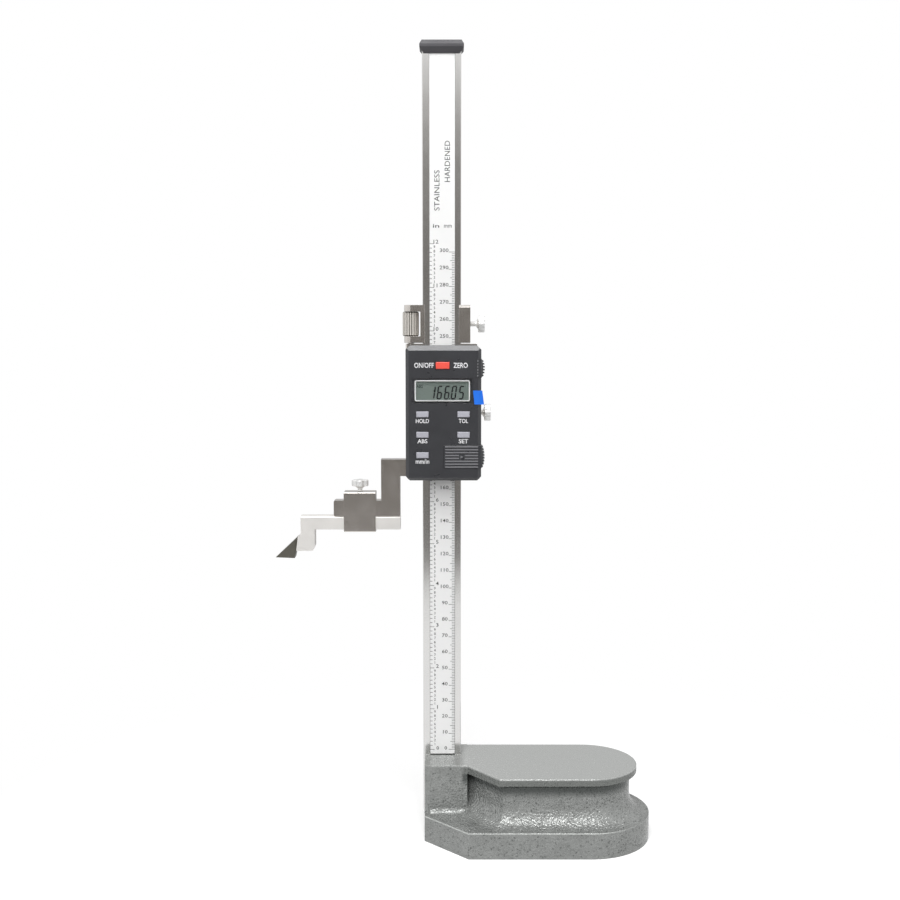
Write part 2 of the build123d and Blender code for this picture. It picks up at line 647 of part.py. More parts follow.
def port_limits(gap=0.0):
    half = PORT_HEIGHT / 2 + gap
    return PORT_CENTRE_Z - half, PORT_CENTRE_Z + half


def display_housing():
    inner_x, inner_z = inside_limits()
    shell = housing_block() - block(inner_x, (INSIDE, FRAME_FRONT), inner_z)
    for spot in SCREW_SPOTS:
        shell += panel(spot, (POST_SIZE, POST_SIZE), INSIDE, PLATE_FRONT)
    shell -= panel(WINDOW_CENTRE, WINDOW_SIZE, FACE, LEDGE)
    shell -= panel(BEZEL_CENTRE, BEZEL_SIZE, FACE, INSIDE, grow=SHELL_GAP, corner=BEZEL_CORNER)
    shell -= panel(ZERO_CENTRE, ZERO_SIZE, FACE, INSIDE, grow=KEY_GAP)
    for spot in KEY_SPOTS.values():
        shell -= panel(spot, KEY_SIZE, FACE, INSIDE, grow=KEY_GAP)
    for spot in SCREW_SPOTS:
        shell -= stud_y(spot, HOUSING_SCREW_RADIUS + THREAD_GAP, PLATE_FRONT - HOUSING_SCREW_BITE, PLATE_FRONT)
    cover_z = (COVER_BOTTOM - SHELL_GAP, COVER_TOP + SHELL_GAP)
    grip_back = FACE + GRIP_DEPTH + SHELL_GAP
    shell -= block((COVER_LEFT - SHELL_GAP, HOUSING_RIGHT), (FACE, CELL_FRONT), cover_z)
    shell -= block((COVER_LEFT + WELL_WALL, inner_x[1]), (FACE, INSIDE), cover_z)
    shell -= block((inner_x[1], HOUSING_RIGHT), (FACE, grip_back), cover_z)
    return shell - block((PORT_LEFT - SHELL_GAP, HOUSING_RIGHT), (FACE, grip_back), port_limits(SHELL_GAP))


def housing_back():
    """Rear plate of the housing, with the round well that holds the cell."""
    plate_x, plate_z = inside_limits(SHELL_GAP)
    plate = block(plate_x, (PLATE_FRONT, FRAME_FRONT), plate_z)
    well = rod_y(CELL_CENTRE, CELL_RADIUS + SHELL_GAP + WELL_WALL, CELL_FRONT, PLATE_FRONT)
    well -= rod_y(CELL_CENTRE, CELL_RADIUS + SHELL_GAP, CELL_FRONT, PLATE_FRONT)
    reach = CONTACT_WIDTH / 2 + SHELL_GAP
    notch = (CELL_CENTRE[0] - reach, CELL_CENTRE[0] + reach)
    plate += well - block(notch, (CELL_FRONT, PLATE_FRONT), (CELL_CENTRE[1], COVER_TOP + WELL_WALL))
    for spot in SCREW_SPOTS:
        plate -= stud_y(spot, HOUSING_SCREW_RADIUS + SHELL_GAP, PLATE_FRONT, FRAME_FRONT)
    return plate


def housing_screws():
    screws = []
    for spot in SCREW_SPOTS:
        screw = stud_y(spot, HOUSING_SCREW_RADIUS, PLATE_FRONT - HOUSING_SCREW_BITE, -SLIDE_GAP)
        screws.append(screw + stud_y(spot, HOUSING_HEAD_RADIUS, -SLIDE_GAP, HOUSING_HEAD_HEIGHT - SLIDE_GAP))
    return group(screws)


def circuit_board():
    """Main board, cut away round the battery well, the screw posts and the port cover."""
    (left, right), (bottom, top) = inside_limits(BOARD_INSET)
    well_top = COVER_TOP + WELL_WALL + BOARD_INSET
    well_left = CELL_CENTRE[0] - CELL_RADIUS - WELL_WALL - BOARD_INSET
    face = outline(
        (left, bottom), (well_left, bottom), (well_left, well_top),
        (right, well_top), (right, top), (left, top),
    )
    board = slab(face, BOARD_FRONT, BOARD_BACK)
    for spot in SCREW_SPOTS:
        board -= panel(spot, (POST_SIZE, POST_SIZE), BOARD_FRONT, BOARD_BACK, grow=SHELL_GAP)
    return board - block((PORT_LEFT - SHELL_GAP, right), (BOARD_FRONT, BOARD_BACK), port_limits(SHELL_GAP))


def sensor_board():
    half = SENSOR_SIZE[0] / 2
    middle = (SLIDER_BOTTOM + SLIDER_TOP) / 2
    reach = SENSOR_SIZE[1] / 2
    return block((-half, half), (FRAME_FRONT, -SENSOR_GAP), (middle - reach, middle + reach))


def lcd_panel():
    size = (BEZEL_SIZE[0] - 2 * LCD_MARGIN, BEZEL_SIZE[1] - 2 * LCD_MARGIN)
    return panel(BEZEL_CENTRE, size, BEZEL_BACK, BOARD_FRONT)


def lcd_bezel():
    frame = panel(BEZEL_CENTRE, BEZEL_SIZE, LEDGE, BEZEL_BACK, corner=BEZEL_CORNER)
    view = (BEZEL_SIZE[0] - 2 * BEZEL_RIM, BEZEL_SIZE[1] - 2 * BEZEL_RIM)
    return frame - panel(BEZEL_CENTRE, view, LEDGE, BEZEL_BACK, corner=BEZEL_VIEW_CORNER)


def display_window():
    return panel(WINDOW_CENTRE, WINDOW_SIZE, FACE, LEDGE, grow=-SLIDE_GAP)


def screen_film():
    half = WINDOW_SIZE[1] / 2
    left = WINDOW_CENTRE[0] - WINDOW_SIZE[0] / 2
    height = (WINDOW_CENTRE[1] - half, WINDOW_CENTRE[1] + half)
    return block((left, FILM_RIGHT), (FACE - FILM_THICKNESS, FACE), height)


def film_tab():
    height = (TAB_BOTTOM, TAB_BOTTOM + TAB_HEIGHT)
    return block((TAB_LEFT, TAB_RIGHT), (FACE - 2 * FILM_THICKNESS, FACE - FILM_THICKNESS), height)


def key(centre, size):
    """Moulded key: a cap through the face, with a flange that keeps it in."""
    cap = panel(centre, size, FACE - KEY_PROUD, KEY_BACK)
    cap = chamfer(cap.faces().sort_by(Axis.Y)[0].edges(), KEY_EDGE)
    return cap + panel(centre, size, INSIDE + SLIDE_GAP, KEY_BACK, grow=KEY_FLANGE)


def keypad_mat():
    """Rubber mats between the keys and the board, one for the zero key and one for the rest."""
    reach = (KEY_SIZE[0] / 2 + KEY_FLANGE, KEY_SIZE[1] / 2 + KEY_FLANGE)
    left = (KEY_LEFT_X - reach[0], KEY_LEFT_X + reach[0])
    right = (KEY_RIGHT_X - reach[0], KEY_RIGHT_X + reach[0])
    top = KEY_TOP_ROW + reach[1]
    low_left = KEY_TOP_ROW - 2 * KEY_PITCH - reach[1]
    low_right = KEY_TOP_ROW - KEY_PITCH - reach[1]
    mat = outline(
        (left[0], top), (left[0], low_left), (left[1], low_left), (left[1], low_right),
        (right[1], low_right), (right[1], top),
    )
    lower = slab(mat, MAT_FRONT, BOARD_FRONT)
    return group([lower, panel(ZERO_CENTRE, ZERO_SIZE, MAT_FRONT, BOARD_FRONT, grow=KEY_FLANGE)])


# ---------------------------------------------------------------- battery, covers and port
def ribs(count, middle_z, start_x, corner_x):
    """Grip ribs that run across the front and wrap round onto the side."""
    front = FACE - RIB_PROUD
    side = GRIP_RIGHT + RIB_PROUD
    made = []
    for i in range(count):
        z = middle_z + (i - (count - 1) / 2) * RIB_PITCH
        height = (z - RIB_WIDTH / 2, z + RIB_WIDTH / 2)
        made.append(block((start_x, corner_x), (front, FACE + COVER_PANEL), height))
        made.append(block((corner_x, side), (FACE + SIDE_BEVEL, FACE + GRIP_DEPTH), height))
    return made


def battery_cover():
    """Sliding cover: a front panel and a grip that wraps round the housing's edge."""
    height = (COVER_BOTTOM, COVER_TOP)
    turn = HOUSING_RIGHT - HOUSING_WALL
    cover = block((COVER_LEFT, turn), (FACE, FACE + COVER_PANEL), height)
    grip = block((turn, GRIP_RIGHT), (FACE, FACE + GRIP_DEPTH), height)
    edge = grip.edges().filter_by(Axis.Z).sort_by(Axis.X)[-2:].sort_by(Axis.Y)[0]
    cover += chamfer(edge, SIDE_BEVEL)
    for rib in ribs(RIB_COUNT, CELL_CENTRE[1], COVER_LEFT + RIB_LEFT, turn):
        cover += rib
    half = ARROW_SIZE / 2
    x, z = ARROW_CENTRE_X, CELL_CENTRE[1]
    cover -= block((x - half, x + half), (FACE - RIB_PROUD, FACE), (z - half, z + half))
    arrow = outline((x - half / 2, z - half / 2), (x + half / 2, z), (x - half / 2, z + half / 2))
    return cover + slab(arrow, FACE - RIB_PROUD, FACE)


def port_cover():
    """Small sliding cover over the data socket in the right-hand edge."""
    bottom, top = port_limits()
    cover = block((PORT_LEFT, GRIP_RIGHT), (FACE, FACE + GRIP_DEPTH), (bottom, top))
    edge = cover.edges().filter_by(Axis.Z).sort_by(Axis.X)[-2:].sort_by(Axis.Y)[0]
    cover = chamfer(edge, SIDE_BEVEL)
    for rib in ribs(PORT_RIBS, PORT_CENTRE_Z, PORT_LEFT, HOUSING_RIGHT - SIDE_BEVEL):
        cover += rib
    return cover


def port_socket():
    right = PORT_LEFT - SHELL_GAP
    half = SOCKET_SIZE[1] / 2
    height = (PORT_CENTRE_Z - half, PORT_CENTRE_Z + half)
    body = block((right - SOCKET_SIZE[0], right), (BOARD_FRONT - SOCKET_THICKNESS, BOARD_FRONT), height)
    mouth = (BOARD_FRONT - SOCKET_THICKNESS + SOCKET_WALL, BOARD_FRONT - SOCKET_WALL)
    mouth_height = (height[0] + SOCKET_WALL, height[1] - SOCKET_WALL)
    return body - block((right - SOCKET_SIZE[0] / 2, right), mouth, mouth_height)


def battery_cell():
    return rod_y(CELL_CENTRE, CELL_RADIUS, CELL_FRONT, CELL_BACK)


def battery_contacts():
    """A bent leaf behind the cell and a side leaf that stands in the well's notch."""
    x, z = CELL_CENTRE
    half = CONTACT_WIDTH / 2
    leaf = outline(
        (PLATE_FRONT, z - half), (PLATE_FRONT, z + half), (PLATE_FRONT - CONTACT_THICKNESS, z + half),
        (PLATE_FRONT - CONTACT_THICKNESS, z - half + CONTACT_THICKNESS), (CELL_BACK, z + half),
        (CELL_BACK, z + half - CONTACT_THICKNESS), (PLATE_FRONT - CONTACT_THICKNESS, z - half),
    )
    side_z = z + CELL_RADIUS
    height = (side_z, side_z + CONTACT_THICKNESS)
    side = block((x - half, x + half), (CELL_FRONT + COVER_PANEL, PLATE_FRONT), height)
    return group([bar(leaf, x - half, x + half), side])


# ---------------------------------------------------------------- scriber
def scriber_clamp():
    """Box that slides on the nose and the scriber together; the screw pulls them tight."""
    width = (CLAMP_LEFT, CLAMP_LEFT + CLAMP_WIDTH)
    depth = (-SLIDE_GAP, BEAM_THICKNESS + SLIDE_GAP)
    outer = block(width, (depth[0] - CLAMP_WALL, depth[1] + CLAMP_WALL), (CLAMP_BOTTOM, CLAMP_TOP))
    outer = chamfer(outer.edges().filter_by(Axis.X), CLAMP_EDGE)
    outer -= block(width, depth, (BAR_BOTTOM, NOSE_TOP + CLAMP_ROOM))
    return outer - rod_z((CLAMP_MID, BEAM_MID), LOCK_RADIUS + THREAD_GAP, NOSE_TOP, CLAMP_TOP)


def scriber_clamp_screw():
    stem = CLAMP_TOP + CLAMP_NECK - NOSE_TOP
    return Pos(CLAMP_MID, BEAM_MID, NOSE_TOP) * Rot(0, 0, 45) * thumbscrew(stem)


def heel_points():
    """The joint between the steel heel and the carbide, from the top down."""
    return (DROP_LEFT - HEEL_OUT[0], HEEL_TOP), (DROP_LEFT - HEEL_OUT[1], DROP_BOTTOM)


def scriber():
    joint_top, joint_bottom = heel_points()
    drop_right = DROP_LEFT + DROP_WIDTH
    face = outline(
        (DROP_LEFT, NOSE_BOTTOM), (BAR_RIGHT, NOSE_BOTTOM), (BAR_RIGHT, BAR_BOTTOM), (drop_right, BAR_BOTTOM),
        (drop_right, DROP_BOTTOM + DROP_CUT[1]), (drop_right - DROP_CUT[0], DROP_BOTTOM),
        joint_bottom, joint_top, (DROP_LEFT, HEEL_SHOULDER),
    )
    top = NOSE_BOTTOM
    section = outline(
        (0, DROP_BOTTOM), (BEAM_THICKNESS, DROP_BOTTOM), (BEAM_THICKNESS, top - BAR_BEVEL),
        (BEAM_THICKNESS - BAR_BEVEL, top), (BAR_BEVEL, top), (0, top - BAR_BEVEL),
    )
    return slab(face, 0, BEAM_THICKNESS) & bar(section, TIP_X, BAR_RIGHT)


def carbide_tip():
    """Wedge with a flat measuring face below and a narrowing edge in front."""
    joint_top, joint_bottom = heel_points()
    heel_x = joint_bottom[0] - TIP_HEEL
    wedge = slab(outline(joint_top, (TIP_X, TIP_FACE), (heel_x, TIP_FACE), joint_bottom), 0, BEAM_THICKNESS)
    half = TIP_EDGE / 2
    plan = outline(
        (TIP_X, BEAM_MID - half), (TIP_X, BEAM_MID + half), (heel_x, BEAM_THICKNESS),
        (joint_top[0], BEAM_THICKNESS), (joint_top[0], 0), (heel_x, 0),
    )
    return wedge & post(plan, TIP_FACE, HEEL_TOP)


# ---------------------------------------------------------------- write every piece
os.makedirs("parts", exist_ok=True)

write("base_casting", base_casting())
write("beam", beam())
write("stator_strip", stator_strip())
write("scale_label", scale_label())
write("beam_end_cap", beam_end_cap())
write("beam_fixing_screws", beam_fixing_screws())

write("fine_carriage", fine_carriage())
write("carriage_gib", gib(CARRIAGE_BOTTOM, CARRIAGE_TOP))
write("carriage_lock_screw", side_lock(FRAME_RIGHT, CARRIAGE_MID))
write("feed_nut", feed_nut())

write("slider_frame", slider_frame())
write("slider_gib", gib(SLIDER_BOTTOM + SLIDER_GIB_INSET, SLIDER_TOP - SLIDER_GIB_INSET))
write("gib_set_screws", gib_set_screws())
write("feed_screw", feed_screw())
write("slider_lock_screw", side_lock(BOSS_RIGHT, LOCK_Z))

write("display_housing", display_housing())
write("housing_back", housing_back())
write("housing_screws", housing_screws())
write("circuit_board", circuit_board())
write("sensor_board", sensor_board())
write("lcd_panel", lcd_panel())
write("lcd_bezel", lcd_bezel())
write("display_window", display_window())
write("screen_film", screen_film())
write("film_tab", film_tab())
write("keypad_mat", keypad_mat())
write("button_zero", key(ZERO_CENTRE, ZERO_SIZE))
for key_name, key_centre in KEY_SPOTS.items():
    write(key_name, key(key_centre, KEY_SIZE))
write("battery_cover", battery_cover())
write("port_cover", port_cover())
write("port_socket", port_socket())
write("battery_cell", battery_cell())
write("battery_contacts", battery_contacts())

write("scriber_clamp", scriber_clamp())
write("scriber_clamp_screw", scriber_clamp_screw())
write("scriber", scriber())
write("carbide_tip", carbide_tip())
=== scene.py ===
# %% [markdown]
# # A digital height gauge, dressed in Blender
# A height gauge is a steel beam that stands in a heavy cast base. A slider with a display rides on the
# beam, and a scriber on its arm touches or scratches the work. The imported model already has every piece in
# its place, so this lesson starts from it, softens its edges, adds what is printed or moulded on it, and
# gives every piece a finish. Everything is in metres, and one millimetre is 0.001.

# %% Load the frame
import json
from math import atan2, cos, pi, radians, tan

import bpy
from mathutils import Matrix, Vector


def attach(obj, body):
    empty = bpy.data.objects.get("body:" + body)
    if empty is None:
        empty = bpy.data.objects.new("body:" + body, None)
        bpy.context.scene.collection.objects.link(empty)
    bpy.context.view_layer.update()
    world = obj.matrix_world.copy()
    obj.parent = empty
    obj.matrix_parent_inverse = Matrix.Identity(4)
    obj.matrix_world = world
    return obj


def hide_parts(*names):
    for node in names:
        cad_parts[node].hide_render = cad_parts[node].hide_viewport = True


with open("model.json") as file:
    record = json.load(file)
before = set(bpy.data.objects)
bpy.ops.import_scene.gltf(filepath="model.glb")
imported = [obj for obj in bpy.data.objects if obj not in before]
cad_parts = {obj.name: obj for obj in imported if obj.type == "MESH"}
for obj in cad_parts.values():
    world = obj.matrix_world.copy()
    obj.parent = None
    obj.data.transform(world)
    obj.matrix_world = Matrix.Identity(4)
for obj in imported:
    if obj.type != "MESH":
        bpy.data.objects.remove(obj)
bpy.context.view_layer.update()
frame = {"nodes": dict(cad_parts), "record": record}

MM = 0.001

# %% [markdown]
# ## The camera
# The view is a slightly raised one from the front. A lens of about 50 mm on a 36 mm sensor keeps the
# perspective mild, so the upright beam hardly tapers. The tilt is given directly rather than set by a
# constraint, so the camera stays free of links.

# %% Camera
bpy.ops.object.select_all(action="DESELECT")
TILT = 5.74             # how far the camera looks down, in degrees
bpy.ops.object.camera_add(location=(0.004817, -0.734247, 0.305078), rotation=(radians(90 - TILT), 0, 0))
camera = bpy.context.object
camera.name = "Camera"
camera.data.sensor_width = 36
camera.data.lens = 49.6127
bpy.context.scene.camera = camera
bpy.context.scene.view_settings.view_transform = "Standard"
print("camera looks down by", TILT, "degrees")


# %% [markdown]
# ## Nodes by hand
# Every finish below is a few shader nodes. Adding them one by one takes many lines, so a few small helpers
# do it: one adds a node and fills its inputs, and others mix colours, do a sum or start a material. Colours
# are written as the 0 to 255 values of a paint chart and turned into the linear values that shaders use.

# %% Node helpers
def paint(*chart):
    """A paint chart colour as linear light."""
    shares = [value / 255 for value in (chart * 3 if len(chart) == 1 else chart)]
    return tuple(v / 12.92 if v <= 0.04045 else ((v + 0.055) / 1.055) ** 2.4 for v in shares) + (1.0,)


def add(tree, kind, inputs=(), **settings):
    """Adds one node, with its settings and inputs; an input is a value or another node's output."""
    made = tree.nodes.new("ShaderNode" + kind)
    for name, value in settings.items():
        setattr(made, name, value)
    for key, value in dict(inputs).items():
        if isinstance(value, bpy.types.NodeSocket):
            tree.links.new(value, made.inputs[key])
        else:
            made.inputs[key].default_value = value
    return made


def mixed(tree, share, first, second):
    """The output of a colour mix: first where share is 0, second where it is 1."""
    return add(tree, "Mix", {0: share, 6: first, 7: second}, data_type="RGBA").outputs[2]


def maths(tree, operation, first, second):
    """The output of one sum, product or comparison."""
    return add(tree, "Math", {0: first, 1: second}, operation=operation).outputs[0]


def spread(tree, value, low, high, out_low=0.0, out_high=1.0):
    """A value stretched from one range to another, and held inside it."""
    return add(tree, "MapRange", {0: value, 1: low, 2: high, 3: out_low, 4: out_high}).outputs[0]


def material(name, colour, roughness, metallic=0.0, **sockets):
    """A new material with its plain values set on the shader; returns it, its tree and its shader."""
    made = bpy.data.materials.new(name)
    made.use_nodes = True
    shader = made.node_tree.nodes["Principled BSDF"]
    shader.inputs["Base Color"].default_value = colour
    shader.inputs["Roughness"].default_value = roughness
    shader.inputs["Metallic"].default_value = metallic
    for label, value in sockets.items():
        shader.inputs[label.replace("_", " ")].default_value = value
    return made, made.node_tree, shader


def place(tree):
    """The object's own coordinates, in metres."""
    return add(tree, "TexCoord").outputs["Object"]


print("middle grey in linear light:", round(paint(128)[0], 3))

# %% [markdown]
# ## The studio
# A gauge is mostly polished and ground metal, and metal shows its surroundings. The room is white to the
# camera and in reflections, and much dimmer as a light, so plastics and paint keep their own colour. Behind
# the gauge reflections find it a little darker, so that steel seen from there doesn't turn white. A large
# soft box overhead gives the tops their brightness, and a lower one at the front left, which metal doesn't
# mirror, fills the shadow under the display. In front of the gauge, behind the camera, hangs a dark card
# that fades to white at its top: the flat steel mirrors it, which is what makes steel look like steel.

# %% World and soft box
SKY_LIGHT = 0.4         # how strong the room is as a light; to the eye it is plain white
SKY_DIMMING = 0.4       # how much of that white reflections lose behind the gauge
world = bpy.data.worlds.new("Studio room")
bpy.context.scene.world = world
world.use_nodes = True
tree = world.node_tree
room_light = tree.nodes["Background"]
room_light.inputs["Color"].default_value = (1, 1, 1, 1)
room_light.inputs["Strength"].default_value = SKY_LIGHT
rays = add(tree, "LightPath").outputs
seen = maths(tree, "MAXIMUM", rays["Is Camera Ray"], rays["Is Glossy Ray"])
seen = maths(tree, "MAXIMUM", seen, rays["Is Transmission Ray"])
behind = add(tree, "SeparateXYZ", {0: add(tree, "TexCoord").outputs["Generated"]}).outputs["Y"]
dimmer = spread(tree, behind, 0.5, 0.9, 0.0, SKY_DIMMING)
dimmer = maths(tree, "MULTIPLY", dimmer, rays["Is Glossy Ray"])
brightness = maths(tree, "SUBTRACT", 1.0, dimmer)
white = add(tree, "Background", {"Color": (1, 1, 1, 1), "Strength": brightness})
both = add(tree, "MixShader", {0: seen, 1: room_light.outputs[0], 2: white.outputs[0]})
tree.links.new(both.outputs[0], tree.nodes["World Output"].inputs["Surface"])

bpy.ops.object.light_add(type="AREA", location=(0.05, -0.62, 1.35))
soft_box = bpy.context.object
soft_box.name = "Soft box"
soft_box.data.size = 0.68
soft_box.data.energy = 10.5
soft_box.rotation_euler = (Vector((0.02, 0, 0.1)) - soft_box.location).to_track_quat("-Z", "Y").to_euler()

bpy.ops.object.light_add(type="AREA", location=(-0.3, -1.1, 0.9))
fill = bpy.context.object
fill.name = "Fill"
fill.data.size = 0.8
fill.data.energy = 6.3
fill.visible_glossy = False
fill.rotation_euler = (Vector((0.02, 0, 0.25)) - fill.location).to_track_quat("-Z", "Y").to_euler()
print("soft box:", soft_box.data.energy, "W, fill:", fill.data.energy, "W")

# %% [markdown]
# The floor is pale and shows only the gauge's shadow: away from the gauge it glows evenly for the camera.
# In reflections it fades with distance, and more so behind the gauge. From three quarters of a metre in
# front of the gauge it is about as dark in reflections as the card's foot, so that this tone runs on down
# the steel.

# %% Floor
GAUGE_SPOT = (0.04, -0.02, 0.0)     # under the gauge, where the floor's distances are measured from
DARK_FROM = -0.762      # in front of this the floor is dark in reflections
FLOOR_GLOW = 0.32       # what the camera sees on top of the floor's own light
bpy.ops.mesh.primitive_plane_add(size=8, location=(0, -1, 0))
floor = bpy.context.object
floor.name = "floor"
floor_paint, tree, shader = material("Pale floor", (0.9, 0.9, 0.9, 1), 0.9)
shader.inputs["Specular IOR Level"].default_value = 0.0
rays = add(tree, "LightPath").outputs
floor_tone = mixed(tree, rays["Is Diffuse Ray"], (0.9, 0.9, 0.9, 1), (0.35, 0.35, 0.35, 1))
tree.links.new(floor_tone, shader.inputs["Base Color"])
spot = add(tree, "NewGeometry").outputs["Position"]
reach = add(tree, "VectorMath", {0: spot, 1: GAUGE_SPOT}, operation="DISTANCE").outputs["Value"]
glow = add(tree, "Emission", {"Color": (1, 1, 1, 1), "Strength": 1.0})
shadow = add(tree, "Emission", {"Color": (1, 1, 1, 1), "Strength": FLOOR_GLOW})
lit = add(tree, "AddShader", {0: shader.outputs[0], 1: shadow.outputs[0]})
around = add(tree, "MixShader", {0: spread(tree, reach, 0.16, 0.34), 1: lit.outputs[0], 2: glow.outputs[0]})
shown = add(tree, "MixShader", {0: rays["Is Camera Ray"], 1: shader.outputs[0], 2: around.outputs[0]})
depth = add(tree, "SeparateXYZ", {0: spot}).outputs["Y"]
near = maths(tree, "LESS_THAN", depth, DARK_FROM)
shiny = rays["Is Glossy Ray"]
dim = maths(tree, "MULTIPLY", near, shiny)
fade = spread(tree, reach, 0.7, 2.2, 1.0, 0.4)
fade = maths(tree, "MULTIPLY", fade, spread(tree, depth, 0.06, 0.5, 1.0, 0.5))
far = add(tree, "Emission", {"Color": (1, 1, 1, 1), "Strength": fade})
pale = add(tree, "MixShader", {0: shiny, 1: shown.outputs[0], 2: far.outputs[0]})
dark = add(tree, "Emission", {"Color": (0.205, 0.193, 0.182, 1), "Strength": 1.0})
both = add(tree, "MixShader", {0: dim, 1: pale.outputs[0], 2: dark.outputs[0]})
tree.links.new(both.outputs[0], tree.nodes["Material Output"].inputs["Surface"])
floor.data.materials.append(floor_paint)
print("floor nodes:", len(tree.nodes))

# %% [markdown]
# The card hangs behind the camera. Only reflections see its greys, which come from the stops of a colour
# ramp: dark up to a little over half a metre, then fading to white.

# %% Card
bpy.ops.mesh.primitive_plane_add(size=1, location=(0, -1.6, 0.43), rotation=(pi / 2, 0, 0))
card = bpy.context.object
card.name = "card"
card.scale = (0.7, 0.86, 1)
card_paint = bpy.data.materials.new("Fading card")
card_paint.use_nodes = True
tree = card_paint.node_tree
tree.nodes.remove(tree.nodes["Principled BSDF"])
rays = add(tree, "LightPath").outputs
height = add(tree, "SeparateXYZ", {0: add(tree, "NewGeometry").outputs["Position"]}).outputs["Z"]
fade = add(tree, "ValToRGB", {0: height})
stops = (   # (height in metres, grey)
    (0.37, 0.2), (0.425, 0.21), (0.50, 0.26), (0.57, 0.26), (0.645, 0.34), (0.715, 0.5), (0.75, 0.66),
    (0.785, 0.98), (0.84, 1.0),
)
ramp = fade.color_ramp.elements
ramp[0].position, ramp[1].position = stops[0][0], stops[-1][0]
for stop, grey in stops[1:-1]:
    ramp.new(stop)
for mark, (stop, grey) in zip(ramp, stops):
    mark.color = (grey, grey ** 1.035, grey ** 1.075, 1)
mirror = add(tree, "Emission", {"Color": fade.outputs[0]})
seen_glow = spread(tree, rays["Is Camera Ray"], 0, 1, 0.55, 1)
pale = add(tree, "Emission", {"Color": (1, 1, 1, 1), "Strength": seen_glow})
both = add(tree, "MixShader", {0: rays["Is Glossy Ray"], 1: pale.outputs[0], 2: mirror.outputs[0]})
tree.links.new(both.outputs[0], tree.nodes["Material Output"].inputs["Surface"])
card.data.materials.append(card_paint)
print("stage:", floor.name, card.name)


# %% [markdown]
# ## Shared surface effects
# Three effects come back on several finishes: the fine parallel lines that a grinding wheel leaves, the
# fine spark-eroded texture of a plastic mould, and the faint smears that hands leave. Each is a node group
# with named inputs, made once. Hammertone's cells are a group too, to keep the paint itself short.

# %% Group helpers
def effect(name, takes, gives):
    """Starts a node group; takes maps input names to (kind, value), gives lists float outputs."""
    made = bpy.data.node_groups.new(name, "ShaderNodeTree")
    for label, (kind, value) in takes.items():
        socket = made.interface.new_socket(name=label, in_out="INPUT", socket_type="NodeSocket" + kind)
        if value is not None:
            socket.default_value = value
    for label in gives:
        made.interface.new_socket(name=label, in_out="OUTPUT", socket_type="NodeSocketFloat")
    return made, made.nodes.new("NodeGroupInput").outputs, made.nodes.new("NodeGroupOutput").inputs


def use(tree, group, **inputs):
    """Places an effect in a material and returns its outputs."""
    placed = tree.nodes.new("ShaderNodeGroup")
    placed.node_tree = group
    for label, value in inputs.items():
        if isinstance(value, bpy.types.NodeSocket):
            tree.links.new(value, placed.inputs[label])
        else:
            placed.inputs[label].default_value = value
    return placed.outputs


def noise(tree, where, scale, detail, **more):
    """A noise node's outputs; the first is a value and the second a colour."""
    return add(tree, "TexNoise", {"Vector": where, "Scale": scale, "Detail": detail, **more}).outputs


print("group helpers are ready")

# %% [markdown]
# A grinding wheel leaves lines that run one way. A noise that is squeezed across the lines and left long
# along them gives that look, and a second, slow noise makes the steel a little uneven.

# %% Grinding lines
grain, given, out = effect(
    "Ground grain", {"Place": ("Vector", None), "Lines": ("Vector", (200.0, 200.0, 4000.0))},
    ["Streaks", "Patches"],
)
stretched = add(grain, "VectorMath", {0: given["Place"], 1: given["Lines"]}, operation="MULTIPLY").outputs[0]
streaks = noise(grain, stretched, 1.0, 3.0, Roughness=0.65)[0]
patches = noise(grain, given["Place"], 45.0, 3.0)[0]
grain.links.new(spread(grain, streaks, 0.3, 0.7), out["Streaks"])
grain.links.new(spread(grain, patches, 0.3, 0.7), out["Patches"])
print("grain nodes:", len(grain.nodes))

# %% [markdown]
# Hammertone paint dries into small domes with veins between them. A Voronoi pattern gives both: the
# distance to a cell's middle is the dome, and the distance to its edge is the vein. A noise bends the cells
# first, so that they don't look like a honeycomb, and another breaks the veins up.

# %% Hammertone cells
hammer, given, out = effect(
    "Hammertone cells", {"Place": ("Vector", None), "Cells": ("Float", 600.0)},
    ["Veins", "Specks", "Dimples", "Drift"],
)
wobble = noise(hammer, given["Place"], given["Cells"], 2.0)["Color"]
shift = add(hammer, "VectorMath", {0: wobble, "Scale": 0.0011}, operation="SCALE").outputs[0]
bent = add(hammer, "VectorMath", {0: given["Place"], 1: shift}, operation="ADD").outputs[0]
cell = {"Vector": bent, "Scale": given["Cells"]}
edges = add(hammer, "TexVoronoi", cell, feature="DISTANCE_TO_EDGE").outputs["Distance"]
domes = add(hammer, "TexVoronoi", cell, feature="SMOOTH_F1").outputs["Distance"]
drift = noise(hammer, given["Place"], 120.0, 2.0)[0]
broken = noise(hammer, given["Place"], 420.0, 1.0)[0]
vein = spread(hammer, edges, 0.0, 0.12, 1.0, 0.0)
wider_cells = maths(hammer, "MULTIPLY", given["Cells"], 0.8)
dots = add(hammer, "TexVoronoi", {"Vector": bent, "Scale": wider_cells}, feature="F1").outputs
some = add(hammer, "SeparateXYZ", {0: dots["Color"]}).outputs[0]
dot = spread(hammer, dots["Distance"], 0.2, 0.46, 1.0, 0.0)
speck = maths(hammer, "MULTIPLY", dot, spread(hammer, some, 0.35, 0.75))
hammer.links.new(speck, out["Specks"])
vein = maths(hammer, "MULTIPLY", vein, spread(hammer, broken, 0.42, 0.6))
hammer.links.new(vein, out["Veins"])
hammer.links.new(spread(hammer, domes, 0.0, 0.7, 1.0, 0.0), out["Dimples"])
hammer.links.new(spread(hammer, drift, 0.3, 0.7), out["Drift"])
print("hammertone nodes:", len(hammer.nodes))

# %% [markdown]
# A plastic mould is roughened by sparks, which leaves fine pebbles on the plastic. Hands leave wide, faint
# smears that change only how glossy a surface is.

